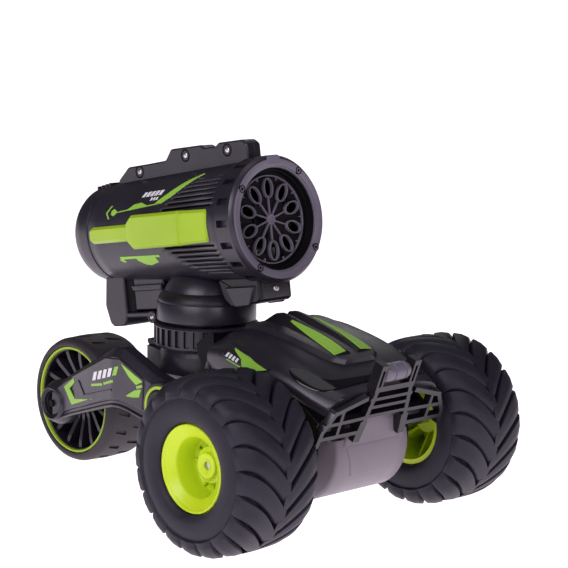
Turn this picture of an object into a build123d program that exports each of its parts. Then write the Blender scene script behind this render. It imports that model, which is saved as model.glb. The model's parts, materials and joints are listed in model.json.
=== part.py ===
from build123d import *
import os
from math import atan2, degrees, hypot

# Bubble-cannon stunt car, lying flat on its three wheels.
# Stations are measured from the front axle: +X forwards, +Y to the car's left, +Z up from the ground.
# save() then moves every piece so that the origin is midway along the car, at ground level.

# ---- driving dimensions, millimetres and degrees ----
FRONT_R = 45.0  # front tyre, over the lugs
FRONT_W = 50.0
TRACK_HALF = 75.3  # wheel centre from the car's middle plane
BEAD_R = 22.0  # hole in the front tyre
LUGS = 20  # per side of a front tyre
WHEELBASE = 198.0
REAR_R = 36.4
REAR_W = 34.0
REAR_BEAD_R = 31.0
PIVOT_X = -85.0  # fold axis
PIVOT_Z = 53.7
NECK_X = -99.0  # turning axis of the cannon
NECK_TOP = 94.5
COLLAR_LOW = 80.6
COLLAR_HIGH = 93.2
COLLAR_R = 28.8
HEAD_R = 27.1
HEAD_LOW = 94.9
HEAD_HIGH = 109.0
MUZZLE_X = -41.9  # centre of the muzzle's front face
MUZZLE_Z = 154.4
CANNON_PITCH = 8.6  # nose up
BARREL_FRONT_R = 32.0
BARREL_REAR_R = 28.0
BARREL_FRONT = 14.2  # back from the muzzle face
BARREL_REAR = 127.0
MUZZLE_R = 33.3
MUZZLE_NOTCHES = 18
LOOPS = 10
BELLY_R = 27.5
BELLY_HALF = 44.0
BELLY_FLAT_Z = 18.3  # flat pad along the bottom of the axle housing
GUARD_FOOT_X = 31.0  # brush guard: front face at its foot
GUARD_FOOT_Z = 52.0
GUARD_LEAN = 21.8  # top leans forwards
GUARD_DEPTH = 4.0
GUARD_TIP_X = 48.0
TUB_LOW = 52.2  # floor of the chassis tub
TUB_HALF = 39.0
CELL_X = -53.0  # battery cell
CELL_Z = 36.4
CELL_R = 7.0
CELL_LENGTH = 50.0

RIM_SLOTS = 12
RIM_WEBS = 6
REAR_FINS = 14
COLLAR_FLUTES = 32
VENT_ROWS = 7  # above and below each side bar
VENT_START = 19.0  # back from the muzzle face
FAN_BLADES = 7
KEEL_HALF = 13.0

WALL = 2.2
FIT = 0.05  # radial clearance of a running fit
SEAT = 0.1  # space between pieces of one body
SHAFT_R = 2.0
PIVOT_SHAFT_R = 3.0
SPIGOT_R = 20.0

REAR_X = -WHEELBASE
LENGTH_SHIFT = (WHEELBASE + REAR_R - GUARD_TIP_X) / 2


# ---- shape helpers ----
def save(name, shape):
    export_step(Pos(LENGTH_SHIFT, 0, 0) * shape, f"parts/{name}.step")


def group(shapes):
    return Compound(children=[solid for shape in shapes for solid in shape.solids()])


def mirrored(shape):
    return mirror(shape, about=Plane.XZ)


def face_of(points):
    return make_face(Polyline(*points, close=True))


def side_prism(outline, low, high):
    # outline of (x, z), carried along Y
    face = face_of([(x, low, z) for x, z in outline])
    return extrude(face, amount=high - low, dir=(0, 1, 0))


def plan_prism(outline, low, high):
    # outline of (x, y), carried along Z
    face = face_of([(x, y, low) for x, y in outline])
    return extrude(face, amount=high - low, dir=(0, 0, 1))


def block(x, y, z):
    # each argument is (low, high)
    size = [pair[1] - pair[0] for pair in (x, y, z)]
    middle = [(pair[1] + pair[0]) / 2 for pair in (x, y, z)]
    return Pos(*middle) * Box(*size)


def rod_y(x, z, radius, low, high):
    return Pos(x, (low + high) / 2, z) * Rot(90, 0, 0) * Cylinder(radius, high - low)


def rod_x(y, z, radius, low, high):
    return Pos((low + high) / 2, y, z) * Rot(0, 90, 0) * Cylinder(radius, high - low)


def rod_z(x, y, radius, low, high):
    return Pos(x, y, (low + high) / 2) * Cylinder(radius, high - low)


def tube_y(x, z, outer, inner, low, high):
    return rod_y(x, z, outer, low, high) - rod_y(x, z, inner, low - 1, high + 1)


def turned_y(profile):
    # profile of (radius, y) turned about the Y axis
    return revolve(face_of([(r, y, 0) for r, y in profile]), axis=Axis.Y)


def turned_x(profile):
    # profile of (x, radius) turned about the X axis
    return revolve(face_of([(x, r, 0) for x, r in profile]), axis=Axis.X)


def turned_z(profile):
    # profile of (radius, z) turned about the Z axis
    return revolve(face_of([(r, 0, z) for r, z in profile]), axis=Axis.Z)


# ---- front wheels; each is made about its own centre, outer face towards +Y ----
def front_tyre():
    half = FRONT_W / 2
    carcass_r = FRONT_R - 4.5
    shoulder = half - 5
    carcass = [(BEAD_R, -half + 3), (BEAD_R + 6, -half), (carcass_r - 6, -half + 1)]
    carcass += [(carcass_r, -shoulder), (carcass_r, shoulder), (carcass_r - 6, half - 1)]
    carcass += [(BEAD_R + 6, half), (BEAD_R, half - 3)]
    hollow = [(BEAD_R - 1, -half + 6), (carcass_r - 4, -shoulder - 1), (carcass_r - 4, shoulder + 1)]
    hollow += [(BEAD_R - 1, half - 6)]
    envelope = [(carcass_r - 9, -half), (FRONT_R - 3.5, -half + 2), (FRONT_R, -half + 8)]
    envelope += [(FRONT_R, half - 8), (FRONT_R - 3.5, half - 2), (carcass_r - 9, half)]
    lug = Box(9, 27, 6.4)
    lugs = []
    for i in range(LUGS):
        for side in (-1, 1):
            turn = (i + (0.5 if side > 0 else 0)) * 360 / LUGS
            lugs.append(Rot(0, turn, 0) * Pos(carcass_r, side * 13, 0) * Rot(side * 28, 0, 0) * lug)
    tread = turned_y(envelope) & (Part() + lugs)
    return turned_y(carcass) + tread - turned_y(hollow)


def front_rim():
    half = FRONT_W / 2 - 2.5
    barrel_r = BEAD_R - SEAT
    outline = [(SHAFT_R + FIT, -6), (7.5, -6), (7.5, 3), (15.8, 3), (17, 13), (19.2, 15)]
    outline += [(19.2, -half + 1), (barrel_r, -half + 1), (barrel_r, half - 0.6), (20.6, half)]
    outline += [(19.4, half - 1), (15, 18.5), (13.8, 6), (9.2, 6), (9.2, 10), (6.4, 10)]
    outline += [(6.4, 12), (SHAFT_R + FIT, 12)]
    rim = turned_y(outline)
    slot = Pos(12.2, 4.5, 0) * Box(1.6, 8, 3.4)
    slots = [Rot(0, i * 360 / RIM_SLOTS, 0) * slot for i in range(RIM_SLOTS)]
    web = side_prism([(7, 0), (19.5, 0), (19.5, 1.4), (7, 1.4)], -6, 3.5)
    webs = [Rot(0, i * 360 / RIM_WEBS + 15, 0) * web for i in range(RIM_WEBS)]
    return rim - (Part() + slots) + webs


def front_wheel(side):
    name = "left" if side > 0 else "right"
    place = Pos(0, side * TRACK_HALF, FRONT_R) * (Rot(0, 0, 0) if side > 0 else Rot(0, 0, 180))
    save(f"tyre_front_{name}", place * front_tyre())
    save(f"rim_front_{name}", place * front_rim())
    inner, outer = 31.0, TRACK_HALF + 11
    shaft = rod_y(0, FRONT_R, SHAFT_R, inner, outer)
    save(f"drive_shaft_{name}", shaft if side > 0 else mirrored(shaft))


# ---- chassis ----
def axle_housing():
    low_half = block((-BELLY_R, BELLY_R), (-BELLY_HALF, BELLY_HALF), (BELLY_FLAT_Z, 52))
    shell = rod_y(0, FRONT_R, BELLY_R, -BELLY_HALF, BELLY_HALF)
    shell -= rod_y(0, FRONT_R, BELLY_R - WALL, -BELLY_HALF + WALL, BELLY_HALF - WALL)
    shaft_hole = rod_y(0, FRONT_R, SHAFT_R + 0.4, -BELLY_HALF - 1, BELLY_HALF + 1)
    return (shell & low_half) - shaft_hole


def chassis_tub():
    front = [(22.4, TUB_LOW), (26.6, 63), (16, 71)]
    outer = side_prism([(-44, TUB_LOW)] + front + [(-44, 71)], -TUB_HALF, TUB_HALF)
    inner_half = TUB_HALF - WALL
    inner_front = [(x - WALL, z + WALL) for x, z in front]
    room = side_prism([(-42, TUB_LOW + WALL)] + inner_front + [(-42, 75)], -inner_half, inner_half)
    sill = block((-36, 18), (-42.6, 42.6), (60, 63))
    return outer + sill - room


def hood_section(x, bottom, half, side_top, shoulder_half, top, inset):
    half -= inset
    shoulder_half -= inset
    low = bottom - (1 if inset else 0)
    side_top -= inset * 0.5
    top -= inset
    right = [(half, low), (half, side_top), (shoulder_half, top - 1.5), (shoulder_half * 0.55, top)]
    points = right + [(-y, z) for y, z in reversed(right)]
    return face_of([(x, y, z) for y, z in points])


def ahead_of_guard(gap):
    # everything in front of a plane that leans with the brush guard, a little behind its bars
    lean = Pos(GUARD_FOOT_X, 0, GUARD_FOOT_Z) * Rot(0, GUARD_LEAN, 0)
    return lean * block((-GUARD_DEPTH - gap, 60), (-80, 80), (-60, 80))


def hood_body(inset):
    end = inset
    stations = [(-49 + end, 80, 44, 90, 31, 99), (-38, 80, 45, 90.5, 33, 101.5)]
    stations += [(-13, 80.5, 45, 87.5, 35, 97), (8, 76, 44, 83, 36, 91), (30, 67, 40, 74, 34, 80.5)]
    stations += [(46 - end, 64, 33, 69, 29, 74)]
    body = loft([hood_section(*station, inset) for station in stations], ruled=True)
    return body - ahead_of_guard(SEAT + inset)


def rib_outline(raise_by):
    top = [(-40, 106), (-34, 106), (-13, 100.4), (10, 92.6), (17, 88)]
    return [(x, z + raise_by) for x, z in top] + [(16, 80), (-40, 92)]


def hood():
    body = hood_body(0) - hood_body(WALL)
    for side in (-1, 1):
        rib = side_prism(rib_outline(-0.6), side * 11 - 8, side * 11 + 8)
        body += rib - hood_body(WALL / 2)
    for side in (-1, 1):
        body -= stripe(side, SEAT)
    return body


def stripe(side, grow):
    # lime insert let into the top of a hood rib
    top = [(-22, 103.2), (-13, 100.8), (8, 93.8)]
    low = [(x, z - 2.2 - grow) for x, z in reversed(top)]
    insert = side_prism(top + low, -60, 60)
    y = side * 11
    plan = [(-22 - grow, y - 2 - grow), (8 + grow, y - 3 - grow), (8 + grow, y + 3 + grow)]
    plan += [(-22 - grow, y + 2 + grow)]
    return insert & plan_prism(plan, 80, 110)


def nose_visor():
    outline = [(-6, 84.8), (24, 78.5), (24, 80.5), (-6, 88)]
    plan = [(-6, 45.4), (24, 42.3), (24, 47), (-6, 47)]
    strip = side_prism(outline, 38.4, 45) & plan_prism(plan, 60, 100)
    lens = strip - hood_body(0)
    return group([lens, mirrored(lens)])


def guard_bar(start, end, width, depth):
    # a bar in the guard's own plane between two (y, height) points
    (y0, v0), (y1, v1) = start, end
    length = hypot(y1 - y0, v1 - v0) + width
    turn = degrees(atan2(-(y1 - y0), v1 - v0))
    return Pos(-depth / 2, (y0 + y1) / 2, (v0 + v1) / 2) * Rot(turn, 0, 0) * Box(depth, width, length)


def guard_half():
    bars = [((44, 1), (43, 8), 2.6), ((43, 8), (37, 18), 2.4), ((37, 18), (18, 23.5), 2.4)]
    bars += [((43, 4.5), (18, 4.5), 2.2), ((41, 12), (16, 12.5), 2.0), ((32, 5), (32, 18), 2.0)]
    bars += [((16, 1), (15, 8), 4.6), ((15, 8), (12, 27), 2.6)]
    return [guard_bar(start, end, width, GUARD_DEPTH) for start, end, width in bars]


def brush_guard():
    lean = Pos(GUARD_FOOT_X, 0, GUARD_FOOT_Z) * Rot(0, GUARD_LEAN, 0)
    half = guard_half()
    post = Pos(-3, 11.7, 34) * Box(6, 4.4, 15) - Pos(-3, 11.7, 34) * Box(7, 1.6, 9.5)
    half.append(post)
    bars = half + [mirrored(bar) for bar in half]
    bars += [guard_bar((-14, v), (14, v), 1.8, GUARD_DEPTH) for v in (13, 18, 22.5)]
    bars += [guard_bar((-11, 28), (11, 28), 3.0, GUARD_DEPTH + 1)]
    feet = [block((-7.8, -3), (side * 15.6 - 2, side * 15.6 + 2), (0, 6)) for side in (-1, 1)]
    return lean * (Part() + bars + feet)


def guard_lamp():
    lean = Pos(GUARD_FOOT_X, 0, GUARD_FOOT_Z) * Rot(0, GUARD_LEAN, 0)
    profile = [(0, -9.3), (3.6, -9.3), (4.6, -8), (4.6, 5), (3.4, 8), (1.5, 9.3), (0, 9.3)]
    return lean * Pos(-3, 0, 35.5) * turned_y(profile)


def rear_bulkhead():
    outline = [(-45, 61), (-50.6, 71), (-50.6, 97), (-57, 95), (-64, 90), (-63, 85), (-47, 57.5)]
    outer = side_prism(outline, -38, 38)
    pocket = side_prism([(-48, 62), (-55, 74), (-60, 84), (-70, 84), (-55, 58)], -24, 24)
    return outer - pocket - fold_motor_space(SEAT)


def fold_motor_space(grow):
    return rod_x(30, 74.5, 6 + grow, -70 - grow, -51.2 + grow)


def box_outline(inset):
    return [(-47 - inset, 49 - inset), (-66 + inset, 40 - inset), (-60 + inset, 28 + inset),
            (-40 - inset, 25.2 + inset)]


def battery_box():
    shell = side_prism(box_outline(0), -29, 29) - side_prism(box_outline(1.8), -27.2, 27.2)
    hatch = plan_prism([(-57, -22), (-44, -22), (-44, 22), (-57, 22)], 20, 34)
    return shell - (hatch - side_prism(box_outline(1.8), -40, 40))


def battery_door():
    door = plan_prism([(-56.7, -21.7), (-44.3, -21.7), (-44.3, 21.7), (-56.7, 21.7)], 20, 34)
    return door & (side_prism(box_outline(0), -40, 40) - side_prism(box_outline(1.7), -41, 41))


def battery_pack():
    # one 14500 cell with its contact button
    cell = rod_y(CELL_X, CELL_Z, CELL_R, -CELL_LENGTH / 2, CELL_LENGTH / 2 - 1)
    return cell + rod_y(CELL_X, CELL_Z, 2.6, CELL_LENGTH / 2 - 1.1, CELL_LENGTH / 2)


def pivot_bracket():
    ears = []
    outline = [(-46, 50.4), (-46, 60.6), (-62, 63), (PIVOT_X + 3, PIVOT_Z + 9.6)]
    outline += [(PIVOT_X, PIVOT_Z - 10), (-68, 44)]
    for side in (-1, 1):
        low, high = sorted((side * 26.6, side * 32.4))
        ear = side_prism(outline, low, high) + rod_y(PIVOT_X, PIVOT_Z, 10, low, high)
        ears.append(ear)
    web = block((-50, -46), (-30, 30), (50.4, 56.8))
    bulkhead = side_prism([(-40, 58), (-46.9, 57.3), (-63.4, 85.4), (-40, 90)], -39, 39)
    shape = Part() + ears + web - bulkhead
    shape -= side_prism([(-46, 50.2), (-68, 39.9), (-60, 25), (-40, 25)], -29.2, 29.2)
    return shape - rod_y(PIVOT_X, PIVOT_Z, PIVOT_SHAFT_R + FIT, -40, 40)


def drive_unit(side):
    # one sealed gearbox and its motor, low in the axle housing
    name = "left" if side > 0 else "right"
    gearbox = block((-17, 17), (30, 41.2), (26, 51.6)) & rod_y(0, FRONT_R, BELLY_R - WALL - SEAT, 29, 42)
    gearbox -= rod_y(0, FRONT_R, SHAFT_R + FIT, 20, 60)
    motor = rod_y(0, 33, 10, 4, 29.8) + rod_y(0, 33, 3, 2.5, 4.2)
    if side < 0:
        gearbox, motor = mirrored(gearbox), mirrored(motor)
    save(f"gearbox_{name}", gearbox)
    save(f"drive_motor_{name}", motor)


def control_board():
    board = block((-34, 14), (-28, 28), (58, 59.6))
    chips = [block((-24, -14), (-8, 2), (59.6, 61.4)), block((-4, 4), (6, 20), (59.6, 62.6))]
    posts = [rod_z(x, y, 2, 54.4, 58) for x in (-30, 10) for y in (-24, 24)]
    return Part() + [board] + chips + posts


def body_screws():
    heads = [rod_z(x, y, 2.4, TUB_LOW - 1.8, TUB_LOW - SEAT) for x in (-38, 20) for y in (-24, 24)]
    return group(heads)


def chassis():
    save("axle_housing", axle_housing())
    save("chassis_tub", chassis_tub())
    save("hood", hood())
    save("hood_stripes", group([stripe(-1, 0), stripe(1, 0)]))
    save("nose_visor", nose_visor())
    save("brush_guard", brush_guard())
    save("guard_lamp", guard_lamp())
    save("rear_bulkhead", rear_bulkhead())
    save("battery_box", battery_box())
    save("battery_door", battery_door())
    save("battery_pack", battery_pack())
    save("pivot_bracket", pivot_bracket())
    save("pivot_shaft", rod_y(PIVOT_X, PIVOT_Z, PIVOT_SHAFT_R, -44.6, 44.6))
    save("fold_motor", fold_motor_space(0))
    save("control_board", control_board())
    save("body_screws", body_screws())
    for side in (-1, 1):
        drive_unit(side)


# ---- rear arms ----
ARM_OUTLINE = [(PIVOT_X, 67.4), (-95, 70), (-110, 75), (-127, 80), (-143, 76.4), (-164, 68.4),
               (-191, 50), (REAR_X, 36.4), (-190, 27), (-178, 34), (-155, 41), (-130, 45.6),
               (-113, 45), (-96, 42), (PIVOT_X, 40)]


def arm_space(outer_inset, inner_inset):
    # plan of the left arm: parallel to the car at the pivot, then closing in on the rear wheel
    outer = [(-70, 44.4), (-127, 43), (-187, 30.6), (-214, 30.6)]
    inner = [(-214, 19), (-187, 19), (-127, 32), (-70, 32.9)]
    plan = [(x, y - outer_inset) for x, y in outer] + [(x, y + inner_inset) for x, y in inner]
    return plan_prism(plan, 20, 90)


def arm_ends(grow, low, high):
    pivot_end = rod_y(PIVOT_X, PIVOT_Z, 13.8 + grow, low, high)
    return pivot_end + rod_y(REAR_X, REAR_R, 12.9 + grow, low, high)


def arm_middle(inset):
    # the arm's outline between its two round ends, drawn in by the inset
    outline = ARM_OUTLINE[1:7] + ARM_OUTLINE[8:14]
    face = offset(face_of([(x, 10, z) for x, z in outline]), -inset)
    return extrude(face, amount=50, dir=(0, 1, 0))


def arm_shell():
    solid = (side_prism(ARM_OUTLINE, 15, 50) + arm_ends(0, 15, 50)) & arm_space(0, 0)
    pocket = arm_middle(WALL) & arm_space(WALL, -1)
    pocket -= arm_ends(1.2, 0, 60)
    hub_lip = tube_y(REAR_X, REAR_R, 10.6, 8.0, 30.5, 31.9)
    return solid - pocket + hub_lip - arm_holes()


def arm_holes():
    return rod_y(PIVOT_X, PIVOT_Z, PIVOT_SHAFT_R + FIT, 0, 60) + rod_y(REAR_X, REAR_R, SHAFT_R + FIT, 0, 60)


def arm_cover():
    plate = arm_middle(2.4) & (arm_space(0, 0) - arm_space(-10, 1.8))
    return plate - arm_ends(1.4, 0, 60)


def pivot_ring():
    return tube_y(PIVOT_X, PIVOT_Z, 11.7, 9.2, 44.55, 46.2)


def arms():
    for side, name in ((1, "left"), (-1, "right")):
        pieces = {"arm": arm_shell(), "arm_cover": arm_cover(), "pivot_ring": pivot_ring()}
        for piece, shape in pieces.items():
            save(f"{piece}_{name}", shape if side > 0 else mirrored(shape))
    spacer = rod_y(-137, 56, 4, -27.5, 27.5)
    save("arm_spacer", spacer - rod_y(-137, 56, 1.4, -30, 30))
    save("rear_axle", rod_y(REAR_X, REAR_R, SHAFT_R, -31.8, 31.8))


# ---- rear wheel, made about its own centre ----
def rear_tyre():
    half = REAR_W / 2
    outline = [(REAR_BEAD_R, -half + 1), (REAR_BEAD_R + 2, -half), (REAR_R - 1.8, -half + 1.4)]
    outline += [(REAR_R - 0.3, -half + 5), (REAR_R, 0), (REAR_R - 0.3, half - 5)]
    outline += [(REAR_R - 1.8, half - 1.4), (REAR_BEAD_R + 2, half), (REAR_BEAD_R, half - 1)]
    groove = turned_y([(REAR_R - 1.4, -0.8), (REAR_R + 1, -0.8), (REAR_R + 1, 0.8), (REAR_R - 1.4, 0.8)])
    return turned_y(outline) - groove


def rear_rim():
    half = REAR_W / 2
    barrel = REAR_BEAD_R - SEAT
    outline = [(SHAFT_R + FIT, -half - 1.2), (8, -half - 1.2), (8, -1.2), (barrel - 2, -1.2)]
    outline += [(barrel - 2, -half + 2.4), (barrel, -half + 2.4), (barrel, half - 2.4)]
    outline += [(barrel - 2, half - 2.4), (barrel - 2, 1.2), (8, 1.2), (8, half + 1.2)]
    outline += [(SHAFT_R + FIT, half + 1.2)]
    fin = block((7.5, barrel - 1), (-half + 4, half - 4), (-0.7, 0.7))
    return turned_y(outline) + [Rot(0, i * 360 / REAR_FINS, 0) * fin for i in range(REAR_FINS)]


def rim_bands():
    half = REAR_W / 2
    low, high = REAR_BEAD_R - 2.4, REAR_BEAD_R - SEAT
    band = turned_y([(low, half - 2.2), (high, half - 2.2), (high, half - 0.6), (low, half - 0.6)])
    return group([band, mirrored(band)])


def rear_wheel():
    place = Pos(REAR_X, 0, REAR_R)
    save("tyre_rear", place * rear_tyre())
    save("rim_rear", place * rear_rim())
    save("rim_bands", Pos(REAR_X, 0, REAR_R) * rim_bands())


# ---- turret base, switch and collar ----
def neck_base():
    profile = [(0, 64), (23, 64), (25.5, 67), (25.5, 76), (24.4, 80.2), (SPIGOT_R + 2, 80.2)]
    profile += [(SPIGOT_R + 2, NECK_TOP), (0, NECK_TOP)]
    drum = Pos(NECK_X, 0, 0) * turned_z(profile)
    hub = rod_y(PIVOT_X, PIVOT_Z, 12, -26.2, 26.2)
    web = block((-104, PIVOT_X), (-21, 21), (PIVOT_Z - 8, 66))
    shelf = plan_prism([(-110, -20), (-134, -13), (-134, 13), (-110, 20)], 66, 77)
    shape = drum + hub + web + (shelf - block((-140, -126), (-10.4, 10.4), (67.5, 80)))
    shape -= rod_z(NECK_X, 0, SPIGOT_R + FIT, 69, 100)
    return shape - rod_y(PIVOT_X, PIVOT_Z, PIVOT_SHAFT_R + FIT, -40, 40)


def switch_housing():
    case = block((-132.9, -126.1), (-10.3, 10.3), (67.6, 77.4))
    flange = block((-136, -132.9), (-10.3, 10.3), (71, 80))
    keep = block((-137, -126.1), (-10.3, 10.3), (77.4, 80))
    shape = case + (flange - block((-134.05, -120), (-12, 12), (60, 77.1))) + keep
    return shape - block((-134.6, -127.4), (-7, 7), (73, 81))


def power_slider():
    knob = block((-133.9, -128.1), (-6.6, 2.6), (73.4, 79))
    grip = block((-133.2, -128.8), (-4.6, 0.6), (79, 81.4))
    return knob + grip


def locking_collar():
    edge = 1.4
    profile = [(SPIGOT_R + 2.1, COLLAR_LOW), (COLLAR_R - edge, COLLAR_LOW), (COLLAR_R, COLLAR_LOW + edge)]
    profile += [(COLLAR_R, COLLAR_HIGH - edge), (COLLAR_R - edge, COLLAR_HIGH)]
    profile += [(SPIGOT_R + 2.1, COLLAR_HIGH)]
    body = turned_z(profile)
    flute = Pos(COLLAR_R + 0.2, 0, 0) * block((-1.4, 1.4), (-1.1, 1.1), (COLLAR_LOW + 2, COLLAR_HIGH - 1.2))
    flutes = [Rot(0, 0, i * 360 / COLLAR_FLUTES) * flute for i in range(COLLAR_FLUTES)]
    return Pos(NECK_X, 0, 0) * (body - (Part() + flutes))


def turret_base():
    save("neck_base", neck_base())
    save("switch_housing", switch_housing())
    save("power_slider", power_slider())
    save("locking_collar", locking_collar())


# ---- cannon; pieces are made about the muzzle face's centre with the barrel along -X, then placed ----
CANNON = Pos(MUZZLE_X, 0, MUZZLE_Z) * Rot(0, -CANNON_PITCH, 0)
SCREW_PLACES = [(-30, 38.5), (-64, 38.5), (-104, 32.8)]  # along the crest


def barrel_cone(grow):
    front, rear = BARREL_FRONT_R + grow, BARREL_REAR_R + grow
    outline = [(-BARREL_FRONT, 0), (-BARREL_FRONT, front), (-BARREL_REAR, rear), (-BARREL_REAR, 0)]
    return turned_x(outline)


def barrel_crest():
    # the joint flange that stands along the top of both half shells
    outline = [(-BARREL_FRONT, 25), (-BARREL_FRONT, 41), (-18, 43), (-78, 43), (-82, 37), (-115, 36.4)]
    outline += [(-124, 29), (-124, 22)]
    return side_prism(outline, 0, 5)


def vent_slots():
    slots = []
    for row in range(VENT_ROWS):
        length = 42 - 3.6 * row
        for direction in (-1, 1):
            angle = direction * (19.5 + 5.6 * row)
            slot = Pos(-VENT_START - length / 2, BARREL_FRONT_R - 1, 0) * Box(length, 8, 1.3)
            slots.append(Rot(angle, 0, 0) * slot)
    return slots


def barrel_half():
    keep = block((-BARREL_REAR, -BARREL_FRONT), (0.05, 60), (-60, 60))
    inside = turned_x([(-BARREL_FRONT + 1, 0), (-BARREL_FRONT + 1, BARREL_FRONT_R - WALL),
                       (-BARREL_REAR - 1, BARREL_REAR_R - WALL), (-BARREL_REAR - 1, 0)])
    shell = (barrel_cone(0) + barrel_crest() - inside) & keep
    shell -= Part() + vent_slots()
    return shell - (Part() + [rod_y(x, z, 1.5, 0.5, 8) for x, z in SCREW_PLACES])


def shell_screws():
    screws = [rod_y(x, z, 1.4, 3.6, 4.8) + rod_y(x, z, 0.7, 0.6, 3.7) for x, z in SCREW_PLACES]
    return group([mirrored(screw) for screw in screws])


def muzzle_ring():
    outline = [(-14, 27.4), (-14, MUZZLE_R), (-2, MUZZLE_R), (-0.6, MUZZLE_R - 0.8), (0, MUZZLE_R - 1.6)]
    outline += [(0, 31.4), (-2.6, 31.4), (-2.6, 28.6), (-12, 28.6), (-12, 27.4)]
    notch = block((-11, -5), (MUZZLE_R - 2, MUZZLE_R + 2), (-2.6, 2.6))
    notches = [Rot(i * 360 / MUZZLE_NOTCHES, 0, 0) * notch for i in range(MUZZLE_NOTCHES)]
    return turned_x(outline) - (Part() + notches)


def face_plate():
    plate = turned_x([(-2.5, 26.7), (-2.5, 31.3), (0, 31.3), (0, 27.6), (-0.8, 26.7)])
    return plate - (Part() + [place * rod_x(0, 0, 1.5, -3, 1) for place in face_screw_places()])


def face_screw_places():
    return [Rot(35 + 90 * i, 0, 0) * Pos(0, 0, 29.4) for i in range(4)]


def face_screws():
    screw = rod_x(0, 0, 1.4, -1.6, -0.5) + rod_x(0, 0, 0.7, -2.5, -1.5)
    return group([place * screw for place in face_screw_places()])


def oval(width, height, low, high):
    return Pos(low, 0, 0) * Rot(0, 90, 0) * extrude(Ellipse(height, width), amount=high - low)


def bubble_loops():
    plate = rod_x(0, 0, 28.4, -9.2, -7.8)
    rims, holes, spokes = [], [], []
    for i in range(LOOPS):
        turn = Rot(i * 360 / LOOPS, 0, 0)
        rims.append(turn * Pos(0, 0, 19.4) * oval(3.3, 5.0, -7.9, -6.4))
        holes.append(turn * Pos(0, 0, 19.4) * oval(2.5, 4.2, -9.5, -6))
        spokes.append(turn * block((-7.9, -6.6), (-0.5, 0.5), (2.4, 13.4)))
    hub = rod_x(0, 0, 2.6, -7.9, -6)
    return plate + rims + spokes + hub - (Part() + holes)


def wiper():
    shaft = rod_x(0, 0, 1.0, -18, -9.6)
    blades = [Rot(90 * turn, 0, 0) * block((-11.2, -9.8), (-2.2, 2.2), (0, 24.5)) for turn in (1, 3)]
    return Part() + [shaft] + blades


def motor_along_barrel(radius, front, rear):
    can = rod_x(0, 0, radius, -rear, -front)
    return can - rod_x(0, 0, 1.0 + FIT, -front - 12, -front + 1)


def fan_wheel():
    hub = rod_x(0, 0, 6, -58, -50) + rod_x(0, 0, 1.0, -70, -57.5)
    blade = Pos(-54, 0, 14) * Rot(0, 0, 38) * Box(1.2, 9, 19)
    blades = [Rot(i * 360 / FAN_BLADES, 0, 0) * blade for i in range(FAN_BLADES)]
    return hub + blades


def solution_tray():
    inner = turned_x([(-17, 0), (-17, 29.2), (-46, 28.2), (-46, 0)])
    room = turned_x([(-18.6, 0), (-18.6, 27.6), (-44.4, 26.6), (-44.4, 0)])
    low = block((-60, 0), (-40, 40), (-40, -15))
    return (inner - room) & low


def tail_cap():
    outer = [(-BARREL_REAR - SEAT, BARREL_REAR_R), (-139, BARREL_REAR_R - 1), (-145, BARREL_REAR_R - 7)]
    outer += [(-145, 0), (-142.8, 0), (-142.8, BARREL_REAR_R - 8), (-138, BARREL_REAR_R - 3.2)]
    outer += [(-BARREL_REAR - SEAT, BARREL_REAR_R - WALL)]
    cap = turned_x(outer)
    ribs = [block((-143 + 3.4 * i, -141.4 + 3.4 * i), (-8, 8), (21, 28.6)) for i in range(4)]
    return cap + ribs - rod_x(0, -5.7, 3.0, -150, -140)


def filler_plug():
    return rod_x(0, -5.7, 2.9, -149, -140.5) + rod_x(0, -5.7, 4.0, -152, -149)


def side_bar():
    wide = [(-22, -9.2), (-22, 9.2), (-80, 9.2), (-83, 6), (-83, -6), (-80, -9.2)]
    narrow = [(-82, -4.6), (-82, 4.6), (-117, 4.6), (-119.4, 2.6), (-119.4, -2.6), (-117, -4.6)]
    bar = side_prism(wide, 20, 36.2) + side_prism(narrow, 20, 33.6)
    edges = bar.faces().filter_by(Axis.Y).sort_by(Axis.Y)[-1].edges()
    bar = chamfer(edges, 1.6)
    return bar - barrel_cone(SEAT)


def keel():
    # keel below the barrel, with a rear box and its feet; the turret head parts it in two
    outline = [(-8, -30), (-8, -44), (-30, -48), (-137, -48), (-137, -40), (-134, -20)]
    beam = side_prism(outline, -KEEL_HALF, KEEL_HALF)
    foot = side_prism([(-116, -47), (-129, -47), (-128, -52), (-118, -52)], -2.5, 2.5)
    feet = [Pos(0, side * (KEEL_HALF - 3), 0) * foot for side in (-1, 1)]
    room = block((-133, -100), (2 - KEEL_HALF, KEEL_HALF - 2), (-46, -20))
    body = CANNON * (beam + feet - room - barrel_cone(SEAT) - rod_x(0, 0, MUZZLE_R + SEAT, -14.1, 1))
    body -= rod_z(NECK_X, 0, COLLAR_R + 1, 60, HEAD_LOW + 1)
    body -= CANNON * rod_x(0, 0, BARREL_REAR_R + SEAT, -146, -127)
    return (body - rod_z(NECK_X, 0, HEAD_R + SEAT, 60, 140)).solids().sort_by(Axis.X)


def turret_head():
    profile = [(SPIGOT_R - 3, 70), (SPIGOT_R, 70), (SPIGOT_R, HEAD_LOW), (HEAD_R, HEAD_LOW)]
    profile += [(HEAD_R, HEAD_HIGH - 2), (HEAD_R - 2, HEAD_HIGH), (HEAD_R - 5, HEAD_HIGH + 5)]
    profile += [(HEAD_R - 9, HEAD_HIGH + 12), (SPIGOT_R - 3, HEAD_HIGH + 12)]
    head = Pos(NECK_X, 0, 0) * turned_z(profile)
    return head - CANNON * barrel_cone(SEAT)


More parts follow.
